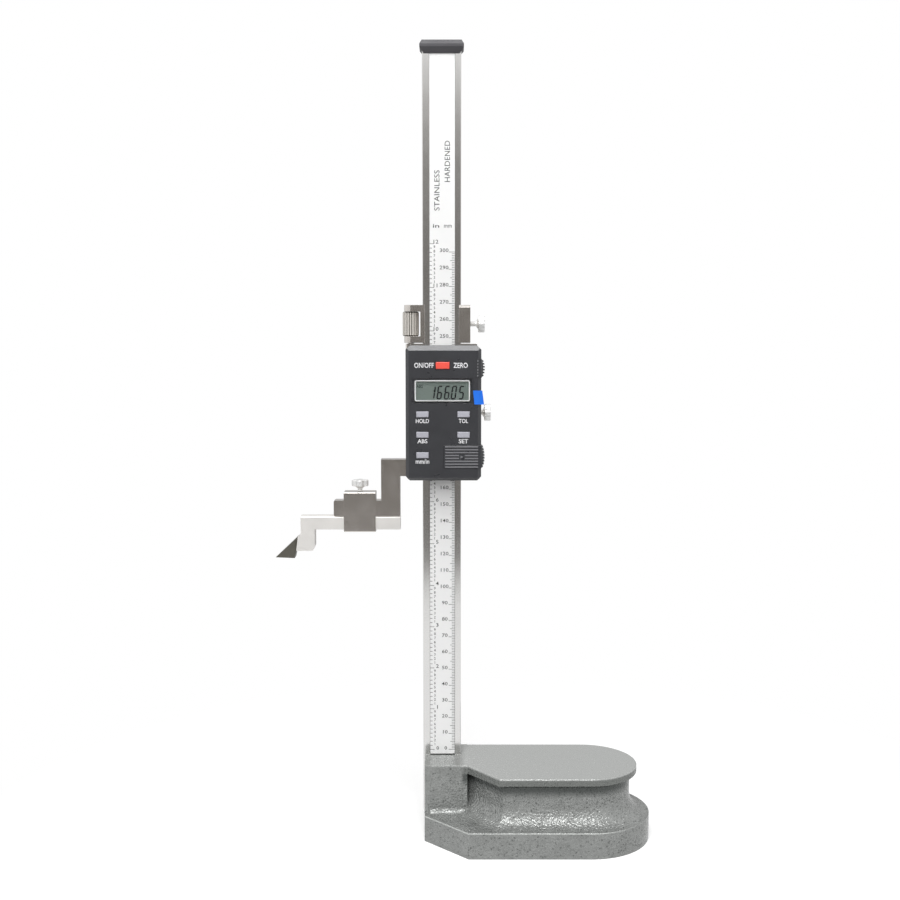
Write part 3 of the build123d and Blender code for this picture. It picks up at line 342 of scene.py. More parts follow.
# %% Mould texture and hand marks
mould, given, out = effect(
    "Mould texture", {"Place": ("Vector", None), "Fineness": ("Float", 5000.0)}, ["Pebbles", "Tone"]
)
pebbles = noise(mould, given["Place"], given["Fineness"], 2.0)[0]
tone = noise(mould, given["Place"], 60.0, 3.0)[0]
mould.links.new(spread(mould, pebbles, 0.35, 0.65), out["Pebbles"])
mould.links.new(spread(mould, tone, 0.3, 0.7), out["Tone"])

smears, given, out = effect("Hand marks", {"Place": ("Vector", None), "Size": ("Float", 70.0)}, ["Smears"])
large = noise(smears, given["Place"], given["Size"], 4.0, Distortion=1.2)[0]
smears.links.new(spread(smears, large, 0.42, 0.72), out["Smears"])
print("effects:", [g.name for g in (grain, hammer, mould, smears)])


# %% [markdown]
# ## Finishes
# One function makes a metal: its colour, how rough it is, how its grinding lines run and how deep they are.
# The hardened beam is the smoothest and satin chrome comes next. The turned screws and the ground scriber
# scatter more of the light.

# %% Metals
def metal(name, colour, rough, lines, depth, tint=0.9, metallic=1.0):
    """A ground or turned metal; lines is the grain's density along x, y and z, per metre."""
    made, tree, shader = material(name, colour, rough, metallic)
    here = place(tree)
    cut = use(tree, grain, Place=here, Lines=lines)
    worn = use(tree, smears, Place=here)["Smears"]
    darker = tuple(c * tint for c in colour[:3]) + (1.0,)
    tree.links.new(mixed(tree, cut["Patches"], darker, colour), shader.inputs["Base Color"])
    base = spread(tree, cut["Streaks"], 0, 1, rough * 0.88, rough * 1.12)
    tree.links.new(
        add(tree, "Math", {0: worn, 1: rough * 0.25, 2: base}, operation="MULTIPLY_ADD").outputs[0],
        shader.inputs["Roughness"],
    )
    bump = add(tree, "Bump", {"Strength": 0.35, "Distance": depth, "Height": cut["Streaks"]}).outputs[0]
    tree.links.new(bump, shader.inputs["Normal"])
    return made


beam_steel = metal("Hardened beam steel", (0.75, 0.745, 0.735, 1), 0.14, (5000, 3000, 60), 3e-6, 0.97)
satin_steel = metal("Satin chrome", (0.70, 0.665, 0.63, 1), 0.2, (2600, 2600, 120), 1.5e-6, 0.96)
bright_steel = metal("Bright turned steel", (0.90, 0.90, 0.89, 1), 0.34, (300, 300, 300), 3e-6, 0.96, 0.7)
ground_steel = metal("Ground tool steel", (0.90, 0.88, 0.85, 1), 0.42, (5000, 900, 120), 5e-6, 0.95, 0.6)
black_steel = metal("Blackened steel", (0.05, 0.05, 0.055, 1), 0.38, (400, 400, 400), 4e-6, 0.8)
bronze = metal("Scraped bronze", (0.55, 0.36, 0.15, 1), 0.35, (700, 900, 250), 6e-6, 0.85)
cell_metal = metal("Nickel plate", (0.70, 0.69, 0.66, 1), 0.22, (600, 600, 600), 2e-6)
contact_metal = metal("Spring brass", (0.62, 0.50, 0.24, 1), 0.3, (900, 900, 200), 3e-6)
carbide = metal("Lapped carbide", (0.19, 0.183, 0.155, 1), 0.3, (2500, 900, 2500), 3e-6, 0.85)
print("beam steel:", beam_steel.name)

# %% [markdown]
# The nut's flutes are painted darker along their floors, as painted shade between the crests. The distance
# from the nut's axis tells a flute from the crest beside it, so the shade needs no drawing of its own.

# %% Flutes of the feed nut
NUT_X, NUT_Y = -18.4, 4.0
FLUTE_SHADE_ENDS = (0.00455, 0.00484)      # distances from the nut's axis in metres: full painted shade, then none
FLUTE_SHADE = paint(84, 78, 70)
fluted_steel = bright_steel.copy()
fluted_steel.name = "Fluted steel"
tree = fluted_steel.node_tree
shader = tree.nodes["Principled BSDF"]
axis = (NUT_X * MM, NUT_Y * MM, 0)
spot = add(tree, "VectorMath", {0: place(tree), 1: axis}, operation="SUBTRACT").outputs[0]
flat = add(tree, "VectorMath", {0: spot, 1: (1, 1, 0)}, operation="MULTIPLY").outputs[0]
radius = add(tree, "VectorMath", {0: flat}, operation="LENGTH").outputs["Value"]
unshaded_steel = mixed(tree, 0.85, shader.inputs["Base Color"].links[0].from_socket, (0.82, 0.78, 0.72, 1))
# Painted shade in the flutes' floors.
flute_shade_share = spread(tree, radius, *FLUTE_SHADE_ENDS, 0.9, 0)
tree.links.new(mixed(tree, flute_shade_share, unshaded_steel, FLUTE_SHADE), shader.inputs["Base Color"])
print("metals:", len([m for m in bpy.data.materials if m.node_tree and m.use_nodes]))

# %% [markdown]
# Plastics differ in colour, in how matt the mould leaves them and in how fine its texture is. Printed inks
# and the display's segments are made the same way, with hardly any texture.

# %% Plastics
def plastic(name, colour, rough, fineness=5000.0, depth=1.2e-5, shade=0.86, **sockets):
    """A moulded plastic with a fine mould texture, uneven tone and faint hand marks."""
    made, tree, shader = material(name, colour, rough, **sockets)
    here = place(tree)
    skin = use(tree, mould, Place=here, Fineness=fineness)
    worn = use(tree, smears, Place=here)["Smears"]
    darker = tuple(c * shade for c in colour[:3]) + (1.0,)
    tree.links.new(mixed(tree, skin["Tone"], darker, colour), shader.inputs["Base Color"])
    tree.links.new(spread(tree, worn, 0, 1, rough, rough * 0.82), shader.inputs["Roughness"])
    bump = add(tree, "Bump", {"Strength": 0.4, "Distance": depth, "Height": skin["Pebbles"]}).outputs[0]
    tree.links.new(bump, shader.inputs["Normal"])
    return made


housing_plastic = plastic("Dark grey housing", paint(55, 56, 60), 0.32, Specular_IOR_Level=0.75)
cap_plastic = plastic("End cap plastic", paint(78, 77, 81), 0.55)
dark_plastic = plastic("Black moulding", paint(34, 34, 36), 0.5)
bezel_plastic = plastic("Pale bezel", paint(253, 253, 253), 0.35, 3000.0, 4e-6, 0.98)
key_grey = plastic("Key grey", paint(184, 184, 193), 0.4, 4000.0, 6e-6, 0.94)
key_red = plastic("Key red", paint(255, 94, 80), 0.36, 4000.0, 6e-6, 0.92)
mat_rubber = plastic("Silicone mat", paint(150, 150, 150), 0.7, 2500.0, 1e-5)
board_green = plastic("Solder mask", paint(30, 110, 66), 0.32, 1500.0, 6e-6, 0.8)
strip_green = plastic("Strip laminate", paint(88, 120, 104), 0.4, 1200.0, 6e-6, 0.8)
black_ink = plastic("Black print", paint(48, 48, 48), 0.55, 2500.0, 2e-6, 0.8)
white_ink = plastic("White print", paint(246, 246, 248), 0.5, 2500.0, 2e-6, 0.95)
lcd_ink = plastic("Display segments", paint(24, 28, 30), 0.3, 2500.0, 1e-6, 0.9)
faint_ink = plastic("Faint display sign", paint(74, 84, 80), 0.3, 2500.0, 1e-6, 0.9)
mask_print = plastic("Mask print", paint(17, 17, 19), 0.4, 2500.0, 1e-6, 0.9)
blue_film = plastic("Blue film", paint(36, 126, 252), 0.34, 900.0, 1e-5, 0.85)
print("housing plastic:", housing_plastic.name)

# %% [markdown]
# The ribs of the two covers stand proud of the housing's side, and their faces are painted paler: a painted
# highlight where light from above catches them. How far forward a point lies tells a rib's face from the
# rest.

# %% Ribs with a painted highlight
RIB_HIGHLIGHT_ENDS = (-0.01412, -0.01432)     # Y in metres: where the painted highlight starts, and where it is full
RIB_HIGHLIGHT_GREY = paint(132, 132, 136)
ribbed_plastic = housing_plastic.copy()
ribbed_plastic.name = "Ribs with painted highlight"
tree = ribbed_plastic.node_tree
shader = tree.nodes["Principled BSDF"]
proud = add(tree, "SeparateXYZ", {0: place(tree)}).outputs["Y"]
# Painted highlight on the ribs' faces.
rib_highlight = spread(tree, proud, *RIB_HIGHLIGHT_ENDS, 0, 0.85)
plain = shader.inputs["Base Color"].links[0].from_socket
tree.links.new(mixed(tree, rib_highlight, plain, RIB_HIGHLIGHT_GREY), shader.inputs["Base Color"])
print("ribs:", ribbed_plastic.name)

# %% [markdown]
# Hammertone is a metallic paint that draws into cells, with dark specks and veins, and it lies smoother on
# the machined top. Some tones are set by where a point lies on the casting, and most of them are painted
# light. The tops are painted paler than the sides, partly for the smoother finish and partly as a painted
# highlight from above. The block's top is darker than the plate's, partly for its rougher paint and partly
# as painted shade under the beam. The plate's upright rim and a band under its lip are painted shade, and a
# thin painted highlight runs along the foot's upper edge and fades to the right.

# %% Hammertone paint
TOP = (0.0432, 0.0446)              # heights in metres, each the start and the end of a soft change
RIM_SHADE = ((0.0396, 0.0399), (0.0434, 0.0440))
FOOT_HIGHLIGHT = ((0.01475, 0.0150), (0.01545, 0.0156))
LIP_SHADE = ((0.0315, 0.0360), (0.0394, 0.0398))
PAST_BLOCK = (0.0112, 0.0132)       # X in metres: left of this the bands leave the block plain


def band(tree, height, ends, strength=1):
    """A share that rises at the band's foot, and falls again at its head."""
    (low, full), (fading, gone) = ends
    rise = spread(tree, height, low, full, 0, strength)
    return maths(tree, "MULTIPLY", rise, spread(tree, height, fading, gone, 1, 0))


hammertone, tree, shader = material("Hammertone paint", paint(150), 0.3, 0.35)
here = place(tree)
cells = use(tree, hammer, Place=here, Cells=850.0)
height = add(tree, "SeparateXYZ", {0: here}).outputs["Z"]
flat_top = spread(tree, height, *TOP)
drift = mixed(tree, cells["Drift"], paint(148, 150, 148), paint(160, 162, 160))
right = add(tree, "SeparateXYZ", {0: here}).outputs["X"]
# Tops: their own smoother finish, plus a painted highlight on the plate's top and painted shade on the
# block's top under the beam.
top_finish_and_painted_light = mixed(tree, spread(tree, right, 0.0115, 0.014), paint(163, 165, 163), paint(186, 188, 186))
top = mixed(tree, flat_top, drift, top_finish_and_painted_light)
strength = spread(tree, flat_top, 0, 1, 1, 0.12)
marks = maths(tree, "MULTIPLY", cells["Veins"], 0.3)
specks = maths(tree, "MULTIPLY", cells["Specks"], 0.8)
marks = maths(tree, "MAXIMUM", marks, specks)
dull = maths(tree, "MULTIPLY", marks, strength)
painted = mixed(tree, dull, top, paint(86, 88, 86))
# Painted shade: the plate's upright rim is darkened right of the block.
rim = maths(tree, "MULTIPLY", band(tree, height, RIM_SHADE), spread(tree, right, *PAST_BLOCK, 0, 0.75))
painted = mixed(tree, rim, painted, paint(112, 115, 112))
# Painted highlight: a thin pale line along the foot's upper edge, fading to the right.
edge = maths(tree, "MULTIPLY", band(tree, height, FOOT_HIGHLIGHT), spread(tree, right, 0.092, 0.108, 0.8, 0.15))
painted = mixed(tree, edge, painted, paint(214, 217, 214))
# Painted shade: a dark band under the plate's lip, right of the block.
under = maths(tree, "MULTIPLY", band(tree, height, LIP_SHADE, 0.9), spread(tree, right, *PAST_BLOCK))
tree.links.new(mixed(tree, under, painted, paint(78, 82, 80)), shader.inputs["Base Color"])
tree.links.new(spread(tree, marks, 0, 1, 0.24, 0.42), shader.inputs["Roughness"])
dents = maths(tree, "MULTIPLY", cells["Dimples"], spread(tree, flat_top, 0, 1, 1, 0.2))
bump = add(tree, "Bump", {"Strength": 0.9, "Distance": 4.0e-4, "Height": dents}).outputs[0]
tree.links.new(bump, shader.inputs["Normal"])
print("cast base paint:", hammertone.name)

# %% [markdown]
# The scale is printed on a satin metallic film: part of the light comes back as from brushed foil, so it
# brightens and dims with height as the steel does, but less. The display glass is a grey-green polariser
# over a rough reflector. The window and the film on it are clear, so most of the light goes straight
# through.

# %% Film, display and window
scale_film, tree, shader = material("Printed film", (0.93, 0.93, 0.93, 1), 0.34, 0.15)
cut = use(tree, grain, Place=place(tree), Lines=(6000, 500, 90))
film_tone = mixed(tree, cut["Patches"], (0.95, 0.95, 0.95, 1), (0.975, 0.975, 0.97, 1))
tree.links.new(film_tone, shader.inputs["Base Color"])
tree.links.new(spread(tree, cut["Streaks"], 0, 1, 0.30, 0.40), shader.inputs["Roughness"])

lcd_glass, tree, shader = material("Liquid crystal panel", paint(116, 129, 123), 0.28)
speck = use(tree, mould, Place=place(tree), Fineness=2600.0)
panel_tone = mixed(tree, speck["Tone"], paint(108, 120, 115), paint(117, 129, 123))
tree.links.new(panel_tone, shader.inputs["Base Color"])

clear_window, tree, shader = material("Clear window", (1, 1, 1, 1), 0.06, Alpha=0.1, Transmission_Weight=1.0)
marks = use(tree, smears, Place=place(tree), Size=160.0)["Smears"]
tree.links.new(spread(tree, marks, 0, 1, 0.04, 0.10), shader.inputs["Roughness"])
clear_film, tree, shader = material("Clear film", (1, 1, 1, 1), 0.08, Alpha=0.06, Transmission_Weight=1.0)
marks = use(tree, smears, Place=place(tree), Size=220.0)["Smears"]
tree.links.new(spread(tree, marks, 0, 1, 0.05, 0.16), shader.inputs["Roughness"])
print("materials:", len(bpy.data.materials))

# %% [markdown]
# ## Every node gets its finish
# The record names a material slot for each node. One table turns the slots into the finishes above. Pieces
# that are made again below take the same finish from the same table.

# %% Finish by slot
FINISH = {
    "hammertone_paint": hammertone, "hardened_steel": beam_steel, "strip_laminate": strip_green,
    "printed_scale": scale_film, "cap_plastic": cap_plastic, "black_oxide_steel": black_steel,
    "satin_chrome_steel": satin_steel, "bronze": bronze, "bright_steel": bright_steel,
    "housing_plastic": housing_plastic, "dark_plastic": dark_plastic, "board_laminate": board_green,
    "lcd_glass": lcd_glass, "bezel_plastic": bezel_plastic, "clear_window": clear_window,
    "clear_film": clear_film, "blue_film": blue_film, "mat_rubber": mat_rubber, "key_grey": key_grey,
    "key_red": key_red, "cell_steel": cell_metal, "contact_metal": contact_metal,
    "ground_steel": ground_steel, "carbide": carbide,
}
slot_of = {part["node"]: part["material_slot"] for part in frame["record"]["subparts"]}
body_of = {node: body for body, nodes in frame["record"]["behaviour"]["bodies"].items() for node in nodes}
for name, cad in frame["nodes"].items():
    for place_for in cad.material_slots:
        place_for.material = FINISH[slot_of[name]]
print("finished nodes:", len(frame["nodes"]))


# %% [markdown]
# ## Working on one piece at a time
# Operators act on whatever is selected, and the loaded nodes are still selected, so every step first drops
# the selection. These helpers select, apply, join and finish one piece at a time.

# %% Piece helpers
def only(piece):
    """Selects this piece alone."""
    bpy.ops.object.select_all(action="DESELECT")
    piece.select_set(True)
    bpy.context.view_layer.objects.active = piece
    return piece


def apply_all(piece):
    """Applies the piece's modifiers, from the first to the last."""
    only(piece)
    for modifier in list(piece.modifiers):
        bpy.ops.object.modifier_apply(modifier=modifier.name)
    return piece


def joined(pieces):
    """Joins pieces into the first one."""
    only(pieces[0])
    for other in pieces:
        other.select_set(True)
    bpy.ops.object.join()
    return pieces[0]


def finish_piece(piece, name, body, slot, replaced=(), look=None, angle=30):
    """Writes a piece's place into its mesh, then smooths, names, paints and hangs it on its body."""
    only(piece)
    bpy.ops.object.transform_apply()
    bpy.ops.object.shade_smooth_by_angle(angle=radians(angle))
    weighted = piece.modifiers.new("Flat faces", "WEIGHTED_NORMAL")
    weighted.keep_sharp = True
    weighted.weight = 100
    bpy.ops.object.modifier_apply(modifier=weighted.name)
    piece.name = piece.data.name = name
    piece.data.materials.clear()
    piece.data.materials.append(look or FINISH[slot])
    if replaced:
        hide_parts(*replaced)
    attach(piece, body)
    return piece


print("piece helpers are ready")

# %% [markdown]
# A file or a mould rounds real edges, and the rounding catches the light. So a node is copied, its loose
# triangles are merged, its flat faces are dissolved into one, and a bevel rounds the edges. The flat faces
# keep their own normals, or the rounding would spread its shading over them.

# %% Copies with softened edges
def soft_copy(node, width, segments, angle=30, smooth=30, look=None, shape=None, clamp=True, merge=0.4):
    """A copy of a node with its edges rounded by width millimetres; shape moves a vertex first."""
    source = frame["nodes"][node]
    piece = bpy.data.objects.new(node + "_soft", source.data.copy())
    bpy.context.scene.collection.objects.link(piece)
    only(piece)
    bpy.ops.mesh.customdata_custom_splitnormals_clear()
    bpy.ops.object.mode_set(mode="EDIT")
    bpy.ops.mesh.select_all(action="SELECT")
    bpy.ops.mesh.remove_doubles(threshold=2e-6)
    if merge:
        bpy.ops.mesh.dissolve_limited(angle_limit=radians(merge), use_dissolve_boundaries=False)
    bpy.ops.object.mode_set(mode="OBJECT")
    for v in piece.data.vertices if shape else ():
        v.co = shape(v.co)
    bevel = piece.modifiers.new("Bevel", "BEVEL")
    bevel.width = width * MM
    bevel.segments = segments
    bevel.limit_method = "ANGLE"
    bevel.angle_limit = radians(angle)
    bevel.use_clamp_overlap = clamp
    bevel.miter_outer = "MITER_ARC"
    apply_all(piece)
    return finish_piece(piece, node + "_soft", body_of[node], slot_of[node], [node], look, smooth)


for node, width, segments in (
    ("beam", 0.2, 2), ("fine_carriage", 0.16, 2), ("slider_frame", 0.16, 2), ("scriber_clamp", 0.16, 2),
    ("scriber", 0.15, 2), ("display_housing", 0.2, 2), ("housing_back", 0.2, 1),
):
    made = soft_copy(node, width, segments)
    print(made.name, "faces", len(made.data.polygons))

# %% [markdown]
# The casting's top plate has a small bevel all round. Its lower line of vertices is lifted before the edges
# are rounded, so that the bevel lies flatter. The rounding isn't clamped, because short edges would hold it
# back everywhere, and the casting's back is held flat afterwards.

# %% Casting
RIM_LINE, RIM_RISE = 43.9, 0.4      # the bevel's lower line, and how far it is lifted, in mm
CASTING_BACK = 26.5


def flatter_rim(spot):
    """Lays the bevel round the top plate flatter, so that only its rounded edge catches the light."""
    if abs(spot.z - RIM_LINE * MM) < 0.05 * MM:
        return Vector((spot.x, spot.y, spot.z + RIM_RISE * MM))
    return spot


casting = soft_copy("base_casting", 0.3, 3, shape=flatter_rim, clamp=False)
for v in casting.data.vertices:
    v.co.y = min(v.co.y, CASTING_BACK * MM)
print("casting faces:", len(casting.data.polygons))

# %% [markdown]
# The display's white frame shows only as a thin line, so its opening is widened. Some of the end cap's
# edges are shallow, so its bevel starts from a smaller angle. The nut's flutes are narrow, so its edges are
# rounded very little.

# %% Frame, cap and nut
BEZEL_MIDDLE = (0.35, 267.2)        # across and up, in mm
OPENING_REACH = (15.3, 5.4)         # vertices this near the middle belong to the opening
WIDER = 0.3


def thinner_frame(spot):
    """Opens the display's white frame a little, so that its rim shows as a thin line."""
    across, up = spot.x / MM - BEZEL_MIDDLE[0], spot.z / MM - BEZEL_MIDDLE[1]
    if abs(across) > OPENING_REACH[0] or abs(up) > OPENING_REACH[1]:
        return spot
    side, rise = WIDER if across > 0 else -WIDER, WIDER if up > 0 else -WIDER
    return Vector((spot.x + side * MM, spot.y, spot.z + rise * MM))


soft_copy("lcd_bezel", 0.1, 2, shape=thinner_frame)
soft_copy("beam_end_cap", 0.2, 2, angle=14, smooth=12)
nut = soft_copy("feed_nut", 0.06, 1, smooth=20, look=fluted_steel)
print("nut faces:", len(nut.data.polygons))

# %% [markdown]
# The battery and port covers have ribbed grips that swell out of the housing's side. Their triangles are
# kept, because a ribbed face that was dissolved into one folds when it is bevelled. Fingers press the keys,
# so their edges are well rounded.

# %% Covers and keys
WALL_RIGHT = 23.05      # the housing's right side


def bulge(middle, half):
    """Swells a cover's grip out of the housing's side like a lens, fullest in the middle."""
    def shape(spot):
        out = spot.x / MM - WALL_RIGHT
        if out > 0:
            out *= 0.7 if out < 1.8 else 1.0    # deeper grooves between the ribs
            swell = max(0.0, 1 - ((spot.z / MM - middle) / half) ** 2) ** 0.6
            spot = Vector(((WALL_RIGHT + out * (0.12 + 0.88 * swell)) * MM, spot.y, spot.z))
        return spot
    return shape


soft_copy("battery_cover", 0.06, 1, look=ribbed_plastic, shape=bulge(228.6, 6.9), clamp=False, merge=0)
soft_copy("port_cover", 0.06, 1, look=ribbed_plastic, shape=bulge(280.2, 5.5), clamp=False, merge=0)
for node in ("button_zero", "button_hold", "button_abs", "button_unit", "button_tol", "button_set"):
    key = soft_copy(node, 0.3, 3)
print("faces of a key:", len(key.data.polygons))

# %% [markdown]
# ## Thumbscrews
# A thumbscrew's neck and stem are turned. A disc is extruded up the profile step by step, as a lathe tool
# would follow it, which gives the thread's crests and valleys with few faces.

# %% Turning
TURNED_SIDES = 28


def turned(profile):
    """A turned solid up the Z axis from its (radius, height) steps in mm."""
    bpy.ops.object.select_all(action="DESELECT")
    low, start = profile[0]
    bpy.ops.mesh.primitive_circle_add(
        vertices=TURNED_SIDES, radius=low * MM, fill_type="NGON", location=(0, 0, start * MM)
    )
    bpy.ops.object.transform_apply()
    bpy.ops.object.mode_set(mode="EDIT")
    bpy.ops.mesh.select_all(action="SELECT")
    for radius, height in profile[1:]:
        bpy.ops.mesh.extrude_region_move(TRANSFORM_OT_translate={"value": (0, 0, (height - start) * MM)})
        ratio = radius / low
        bpy.ops.transform.resize(value=(ratio, ratio, 1), center_override=(0, 0, height * MM))
        low, start = radius, height
    bpy.ops.mesh.select_all(action="SELECT")
    bpy.ops.mesh.normals_make_consistent(inside=False)
    bpy.ops.object.mode_set(mode="OBJECT")
    return bpy.context.object


print("turned parts have", TURNED_SIDES, "sides")

# %% [markdown]
# The three thumbscrews have the same head: a sixty-four-sided disc whose rim is drawn in four times, so
# that four round lobes stay for the fingers. One function makes all three, because only their stems'
# lengths differ.

# %% Knobs
KNOB_RADIUS, KNOB_DIP, KNOB_TALL = 5.0, 3.4, 3.8
THREAD_RADIUS, THREAD_DEPTH, THREAD_STEP = 1.5, 0.28, 0.7
NECK_RADIUS = 3.1


def knob(stem):
    """A lobed thumbscrew up the Z axis, with its tip at 0."""
    threads = [(1.1, 0), (THREAD_RADIUS, 0.4)]
    height = 0.4
    while height + THREAD_STEP < stem:
        valley = (THREAD_RADIUS - THREAD_DEPTH, height + THREAD_STEP / 2)
        threads += [valley, (THREAD_RADIUS, height + THREAD_STEP)]
        height += THREAD_STEP
    shoulder = [(2.0, stem + 0.05), (NECK_RADIUS, stem + 1.0), (NECK_RADIUS, stem + 1.3)]
    neck = turned(threads + [(THREAD_RADIUS, stem)] + shoulder)
    bpy.ops.object.select_all(action="DESELECT")
    bpy.ops.mesh.primitive_cylinder_add(
        vertices=64, radius=KNOB_RADIUS * MM, depth=KNOB_TALL * MM,
        location=(0, 0, (stem + 1 + KNOB_TALL / 2) * MM),
    )
    head = bpy.context.object
    bpy.ops.object.transform_apply()
    for v in head.data.vertices:
        lobe = (1 + cos(4 * atan2(v.co.y, v.co.x))) / 2
        reach = (KNOB_DIP + (KNOB_RADIUS - KNOB_DIP) * lobe ** 0.7) / KNOB_RADIUS
        v.co.x, v.co.y = v.co.x * reach, v.co.y * reach
    rim = head.modifiers.new("Rim", "BEVEL")
    rim.width, rim.segments, rim.limit_method, rim.angle_limit = 0.55 * MM, 4, "ANGLE", radians(60)
    apply_all(head)
    return joined([head, neck])


def fitted(piece, name, spot, turn, body):
    """Turns a finished knob, puts its tip at spot and lets it stand in for the node."""
    piece.rotation_euler = turn
    piece.location = [v * MM for v in spot]
    return finish_piece(piece, name + "_lobed", body, "bright_steel", [name])


fitted(knob(7.9), "carriage_lock_screw", (12.6, 4, 305.9), (0, pi / 2, 0), "carriage_lock_screw")
fitted(knob(11.6), "slider_lock_screw", (12.6, 4, 253.4), (0, pi / 2, 0), "slider_lock_screw")
clamp_knob = fitted(knob(7.3), "scriber_clamp_screw", (-49.1, 4, 200.9), (0, 0, 0), "scriber_clamp_screw")
print("knob faces:", len(clamp_knob.data.polygons))

# %% [markdown]
# ## The pull tab
# The blue tab is a strip of film that has begun to curl away from the display. A grid is laid out between
# its four corners, then bowed forward towards its free end.

# %% Tab
TAB_FACE, TAB_FOOT, TAB_TALL, TAB_CURL = -14.22, 259.3, 8.1, 0.9
bpy.ops.object.select_all(action="DESELECT")
bpy.ops.mesh.primitive_grid_add(x_subdivisions=10, y_subdivisions=2, size=1)
tab = bpy.context.object
for v in tab.data.vertices:
    across, up = v.co.x + 0.5, v.co.y + 0.5
    left, right = 19.0 - 0.8 * up, 24.6 - 1.05 * up
    lift = TAB_CURL * across ** 2.2
    v.co = Vector((left + (right - left) * across, TAB_FACE - lift, TAB_FOOT + TAB_TALL * up)) * MM
thick = tab.modifiers.new("Thickness", "SOLIDIFY")
thick.thickness = 0.08 * MM
finish_piece(apply_all(tab), "film_tab_curled", "slider", "blue_film", ["film_tab"])
print("tab faces:", len(tab.data.polygons))

# %% [markdown]
# A black frame printed behind the window hides the edges of the display. It is a flat sheet whose middle is
# inset and deleted, so that a ring stays.

# %% Mask
MASK_MIDDLE = (0.05, -13.43, 267.25)
MASK_WIDE, MASK_TALL, MASK_BORDER = 34.9, 14.6, 1.3
bpy.ops.object.select_all(action="DESELECT")
middle = tuple(v * MM for v in MASK_MIDDLE)
bpy.ops.mesh.primitive_plane_add(size=1, location=middle, rotation=(pi / 2, 0, 0))
mask = bpy.context.object
mask.scale = (MASK_WIDE * MM, MASK_TALL * MM, 1)
bpy.ops.object.transform_apply()
bpy.ops.object.mode_set(mode="EDIT")
bpy.ops.mesh.select_all(action="SELECT")
bpy.ops.mesh.inset(thickness=MASK_BORDER * MM, depth=0)
bpy.ops.mesh.delete(type="FACE")
bpy.ops.object.mode_set(mode="OBJECT")
finish_piece(mask, "window_mask", "slider", "dark_plastic", look=mask_print)
print("mask faces:", len(mask.data.polygons))

# %% [markdown]
# ## The printed scale
# The film on the beam carries two scales: millimetres on the right, numbered every ten, and inches on the
# left, divided into tenths. One tick is a flat strip about a quarter of a millimetre high. It is copied up
# the film by an Array modifier, once for each length of tick, and the line beside each scale is one long
# strip. All are joined into one printed piece. The tick for zero stands 47.8 mm above the table.

# %% Ticks
ZERO_Z = 47.8
FILM_FACE = 0.05
PRINT_FACE = FILM_FACE - 0.02       # the print stands a little proud of the film
INCH = 25.4
MM_THICK, INCH_THICK = 0.26, 0.28
LINE_MIDDLE, LINE_TALL = 255.5, 420


def repeated(piece, step, count):
    """Copies a piece up the scale, once at every step."""
    array = piece.modifiers.new("Up the scale", "ARRAY")
    array.use_relative_offset = False
    array.use_constant_offset = True
    array.constant_offset_displace = (0, 0, step * MM)
    array.count = count
    return apply_all(piece)


def tick_row(left, right, first, step, count, thick):
    """A column of ticks from left to right, the first at a height, then one at every step."""
    middle = ((left + right) / 2 * MM, PRINT_FACE * MM, first * MM)
    bpy.ops.object.select_all(action="DESELECT")
    bpy.ops.mesh.primitive_plane_add(size=1, location=middle, rotation=(pi / 2, 0, 0))
    row = bpy.context.object
    row.scale = ((right - left) * MM, thick * MM, 1)
    bpy.ops.object.transform_apply()
    return repeated(row, step, count)


marks = [
    tick_row(5.9, 7.74, ZERO_Z, 1, 301, MM_THICK),
    tick_row(4.95, 5.9, ZERO_Z, 5, 61, MM_THICK),
    tick_row(3.95, 4.95, ZERO_Z, 10, 31, MM_THICK),
    tick_row(7.64, 7.74, LINE_MIDDLE, 1, 1, LINE_TALL),
    tick_row(-7.26, -7.16, LINE_MIDDLE, 1, 1, LINE_TALL),
    tick_row(-7.26, -5.75, ZERO_Z, INCH / 10, 121, INCH_THICK),
    tick_row(-5.75, -4.6, ZERO_Z, INCH, 13, INCH_THICK),
]
scale_marks = finish_piece(joined(marks), "scale_marks", "stand", "printed_scale", look=black_ink)
print("ticks:", len(scale_marks.data.polygons))


# %% [markdown]
# Words start as text objects. Each is turned into a mesh, then fitted into the box that its printing fills,
# so that its height and width are exact whatever the font is.

# %% Lettering helper
def letters(words, box, face, upward=False, bold=0.008):
    """Flat lettering that faces forward and fills box, which is (left, right, bottom, top) in mm."""
    left, right, bottom, top = box
    bpy.ops.object.select_all(action="DESELECT")
    bpy.ops.object.text_add()
    bpy.context.object.data.body = words
    bpy.context.object.data.resolution_u = 3
    bpy.context.object.data.offset = bold
    bpy.ops.object.convert(target="MESH")
    piece = only(bpy.context.object)
    across = [v.co.x for v in piece.data.vertices]
    along = [v.co.y for v in piece.data.vertices]
    room = (top - bottom, right - left) if upward else (right - left, top - bottom)
    piece.scale = (room[0] * MM / (max(across) - min(across)), room[1] * MM / (max(along) - min(along)), 1)
    bpy.ops.object.transform_apply(location=False, rotation=False, scale=True)
    start = Vector((min(v.co.x for v in piece.data.vertices), min(v.co.y for v in piece.data.vertices), 0))
    piece.rotation_euler = (pi / 2, -pi / 2 if upward else 0, 0)
    if upward:
        piece.location = (right * MM + start.y, face * MM, bottom * MM - start.x)
    else:
        piece.location = (left * MM - start.x, face * MM, bottom * MM - start.y)
    bpy.ops.object.transform_apply()
    return piece


print("lettering helper is ready")

# %% [markdown]
# A number is sized by its height instead, and placed by its right end, because it has one, two or three
# digits. The tenths between inches repeat, so they are made for one inch and copied up with an Array.

# %% Numbers on the scale
DIGIT_SHARE = 0.70      # a digit's height as a share of the font's size


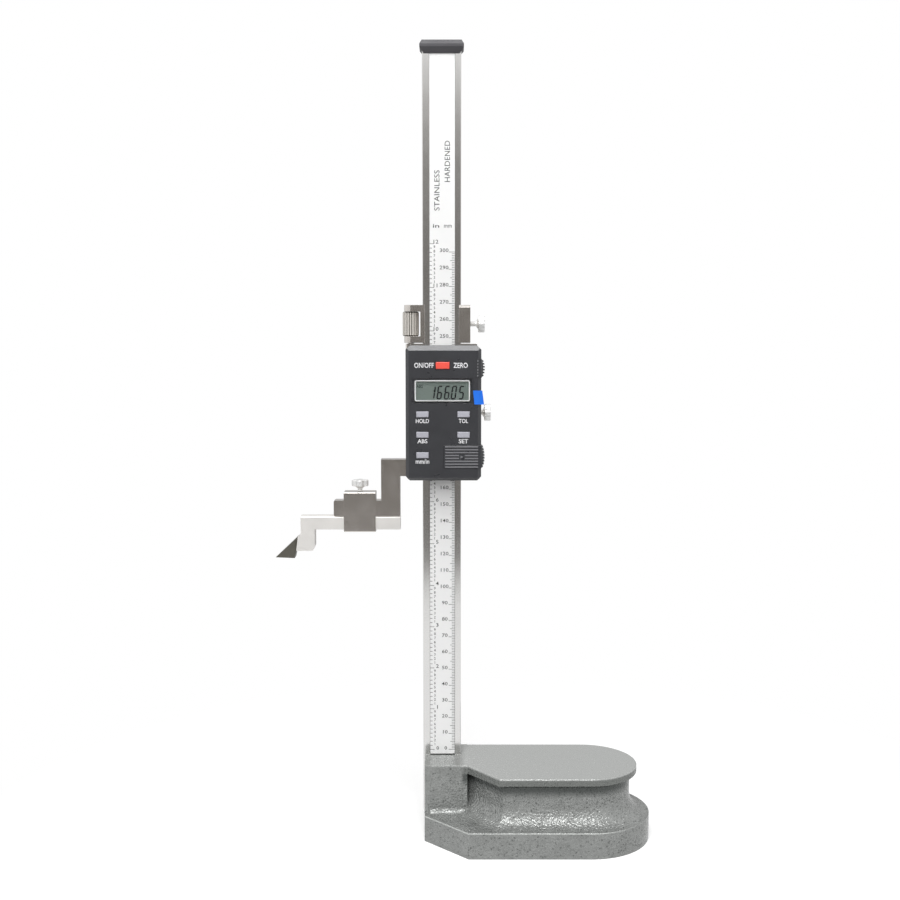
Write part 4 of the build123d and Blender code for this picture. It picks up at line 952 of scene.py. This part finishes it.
def number(words, right, bottom, tall, squeeze):
    """A number that ends at right and stands on bottom, with its digits tall and squeezed alike."""
    bpy.ops.object.select_all(action="DESELECT")
    bpy.ops.object.text_add()
    bpy.context.object.data.body = words
    bpy.context.object.data.align_x = "RIGHT"
    bpy.context.object.data.resolution_u = 2
    bpy.context.object.data.offset = 0.008
    bpy.ops.object.convert(target="MESH")
    piece = only(bpy.context.object)
    size = tall * MM / DIGIT_SHARE
    piece.scale = (size * squeeze, size, 1)
    piece.rotation_euler = (pi / 2, 0, 0)
    piece.location = (right * MM, PRINT_FACE * MM, bottom * MM)
    bpy.ops.object.transform_apply()
    return piece


numbers = [number("0", 3.1, ZERO_Z - 0.1, 2.1, 1.15)]
for reading in range(10, 301, 10):
    numbers.append(number(str(reading), 4.0 if reading > 99 else 3.45, ZERO_Z + reading, 2.1, 1.2))
mm_numbers = finish_piece(joined(numbers), "mm_numbers", "stand", "printed_scale", look=black_ink)

numbers = [number("0", -1.8, ZERO_Z - 0.1, 2.1, 1.15)]
for inch in range(1, 13):
    numbers.append(number(str(inch), -1.9, ZERO_Z + inch * INCH + 0.1, 2.2, 1.15))
inch_numbers = finish_piece(joined(numbers), "inch_numbers", "stand", "printed_scale", look=black_ink)

tenths = [number(str(t), -3.8, ZERO_Z + t * INCH / 10, 1.6, 0.95) for t in range(1, 10)]
tenth_numbers = repeated(joined(tenths), INCH, 12)
finish_piece(tenth_numbers, "tenth_numbers", "stand", "printed_scale", look=black_ink)
print("number faces:", sum(len(p.data.polygons) for p in (mm_numbers, inch_numbers, tenth_numbers)))

# %% [markdown]
# The two units stand above the last ticks, and the two words about the steel run up the beam.

# %% Words on the scale
words = [
    letters("in", (-5.2, -1.5, 361.9, 363.9), PRINT_FACE),
    letters("mm", (1.3, 5.8, 361.9, 363.5), PRINT_FACE),
    letters("STAINLESS", (-4.4, -1.3, 371.7, 394.9), PRINT_FACE, upward=True, bold=0.0),
    letters("HARDENED", (1.7, 4.8, 388.2, 411.7), PRINT_FACE, upward=True, bold=0.0),
]
scale_words = finish_piece(joined(words), "scale_words", "stand", "printed_scale", look=black_ink)
print("faces of the words:", len(scale_words.data.polygons))

# %% [markdown]
# ## Words on the housing
# The words for the keys are printed in white on the housing, each fitted to the box that its print fills.

# %% Housing lettering
HOUSING_FACE = -14.05
face = HOUSING_FACE - 0.03
BOLD = 0.016
labels = [
    letters(words, box, face, bold=BOLD)
    for words, box in (
        ("ON/OFF", (-15.9, -4.6, 280.5, 283.5)), ("ZERO", (6.8, 15.1, 280.5, 283.5)),
        ("HOLD", (-15.1, -7.4, 248.4, 250.9)), ("ABS", (-14.2, -8.4, 236.6, 239.1)),
        ("mm/in", (-15.2, -7.3, 224.6, 227.4)), ("TOL", (9.9, 15.4, 248.4, 250.9)),
        ("SET", (9.9, 15.4, 236.6, 239.1)),
    )
]
housing_words = finish_piece(joined(labels), "housing_words", "slider", "key_grey", look=white_ink)
print("housing lettering:", len(housing_words.data.polygons), "faces")

# %% [markdown]
# ## The reading
# A liquid crystal shows numbers with seven bars a digit. One bar is a six-sided disc drawn out at both
# ends, and a digit is made of the bars that it needs, with the level ones turned.

# %% Seven-segment digits
LCD_FACE = -12.25
BAR_WIDE = 1.0
BARS = {  # bar: (across, up, turned)
    "a": (0.5, 1.0, True), "b": (1.0, 0.75, False), "c": (1.0, 0.25, False), "d": (0.5, 0.0, True),
    "e": (0.0, 0.25, False), "f": (0.0, 0.75, False), "g": (0.5, 0.5, True),
}
SHAPES = {"0": "abcdef", "1": "bc", "5": "acdfg", "6": "acdefg"}


def bar(x, z, length, turned):
    """One bar of a digit, pointed at both ends."""
    bpy.ops.object.select_all(action="DESELECT")
    bpy.ops.mesh.primitive_circle_add(vertices=6, radius=BAR_WIDE / 2 * MM, fill_type="NGON")
    piece = bpy.context.object
    bpy.ops.object.mode_set(mode="EDIT")
    bpy.ops.mesh.select_mode(type="VERT")
    for side in (1, -1):
        bpy.ops.mesh.select_all(action="DESELECT")
        bpy.ops.object.mode_set(mode="OBJECT")
        for v in piece.data.vertices:
            v.select = v.co.y * side > 0.00001
        bpy.ops.object.mode_set(mode="EDIT")
        bpy.ops.transform.translate(value=(0, side * (length - BAR_WIDE) / 2 * MM, 0))
    bpy.ops.object.mode_set(mode="OBJECT")
    piece.rotation_euler = (pi / 2, pi / 2 if turned else 0, 0)
    piece.location = (x * MM, (LCD_FACE - 0.04) * MM, z * MM)
    bpy.ops.object.transform_apply()
    return piece


def digit(value, left, bottom, wide, tall):
    """A digit's bars, in a frame of that width and height."""
    made = []
    for name in SHAPES[value]:
        across, up, turned = BARS[name]
        length = (wide if turned else tall / 2) - 0.1
        made.append(bar(left + across * wide, bottom + up * tall, length, turned))
    return made


print("digits that can be made:", " ".join(SHAPES))

# %% [markdown]
# The decimal point is one short bar. All bars are joined, and the whole row then leans to the right.

# %% Reading
LEAN = 8                # degrees
DIGIT_WIDE, DIGIT_TALL, DIGIT_FOOT = 2.2, 7.2, 262.5
bars = [bar(4.6, DIGIT_FOOT, 0.85, False)]
for value, middle in (("1", -5.8), ("6", -1.7), ("6", 2.6), ("0", 6.6), ("5", 11.0)):
    bars += digit(value, middle - DIGIT_WIDE / 2, DIGIT_FOOT, DIGIT_WIDE, DIGIT_TALL)
lcd_reading = joined(bars)
for v in lcd_reading.data.vertices:
    v.co.x += (v.co.z - DIGIT_FOOT * MM) * tan(radians(LEAN))
finish_piece(lcd_reading, "lcd_reading", "slider", "lcd_glass", look=lcd_ink)
mode_sign = letters("ABS", (-14.8, -11.0, 268.8, 270.7), LCD_FACE - 0.04, bold=0.03)
finish_piece(mode_sign, "lcd_mode_sign", "slider", "lcd_glass", look=faint_ink)
print("bars:", len(bars))
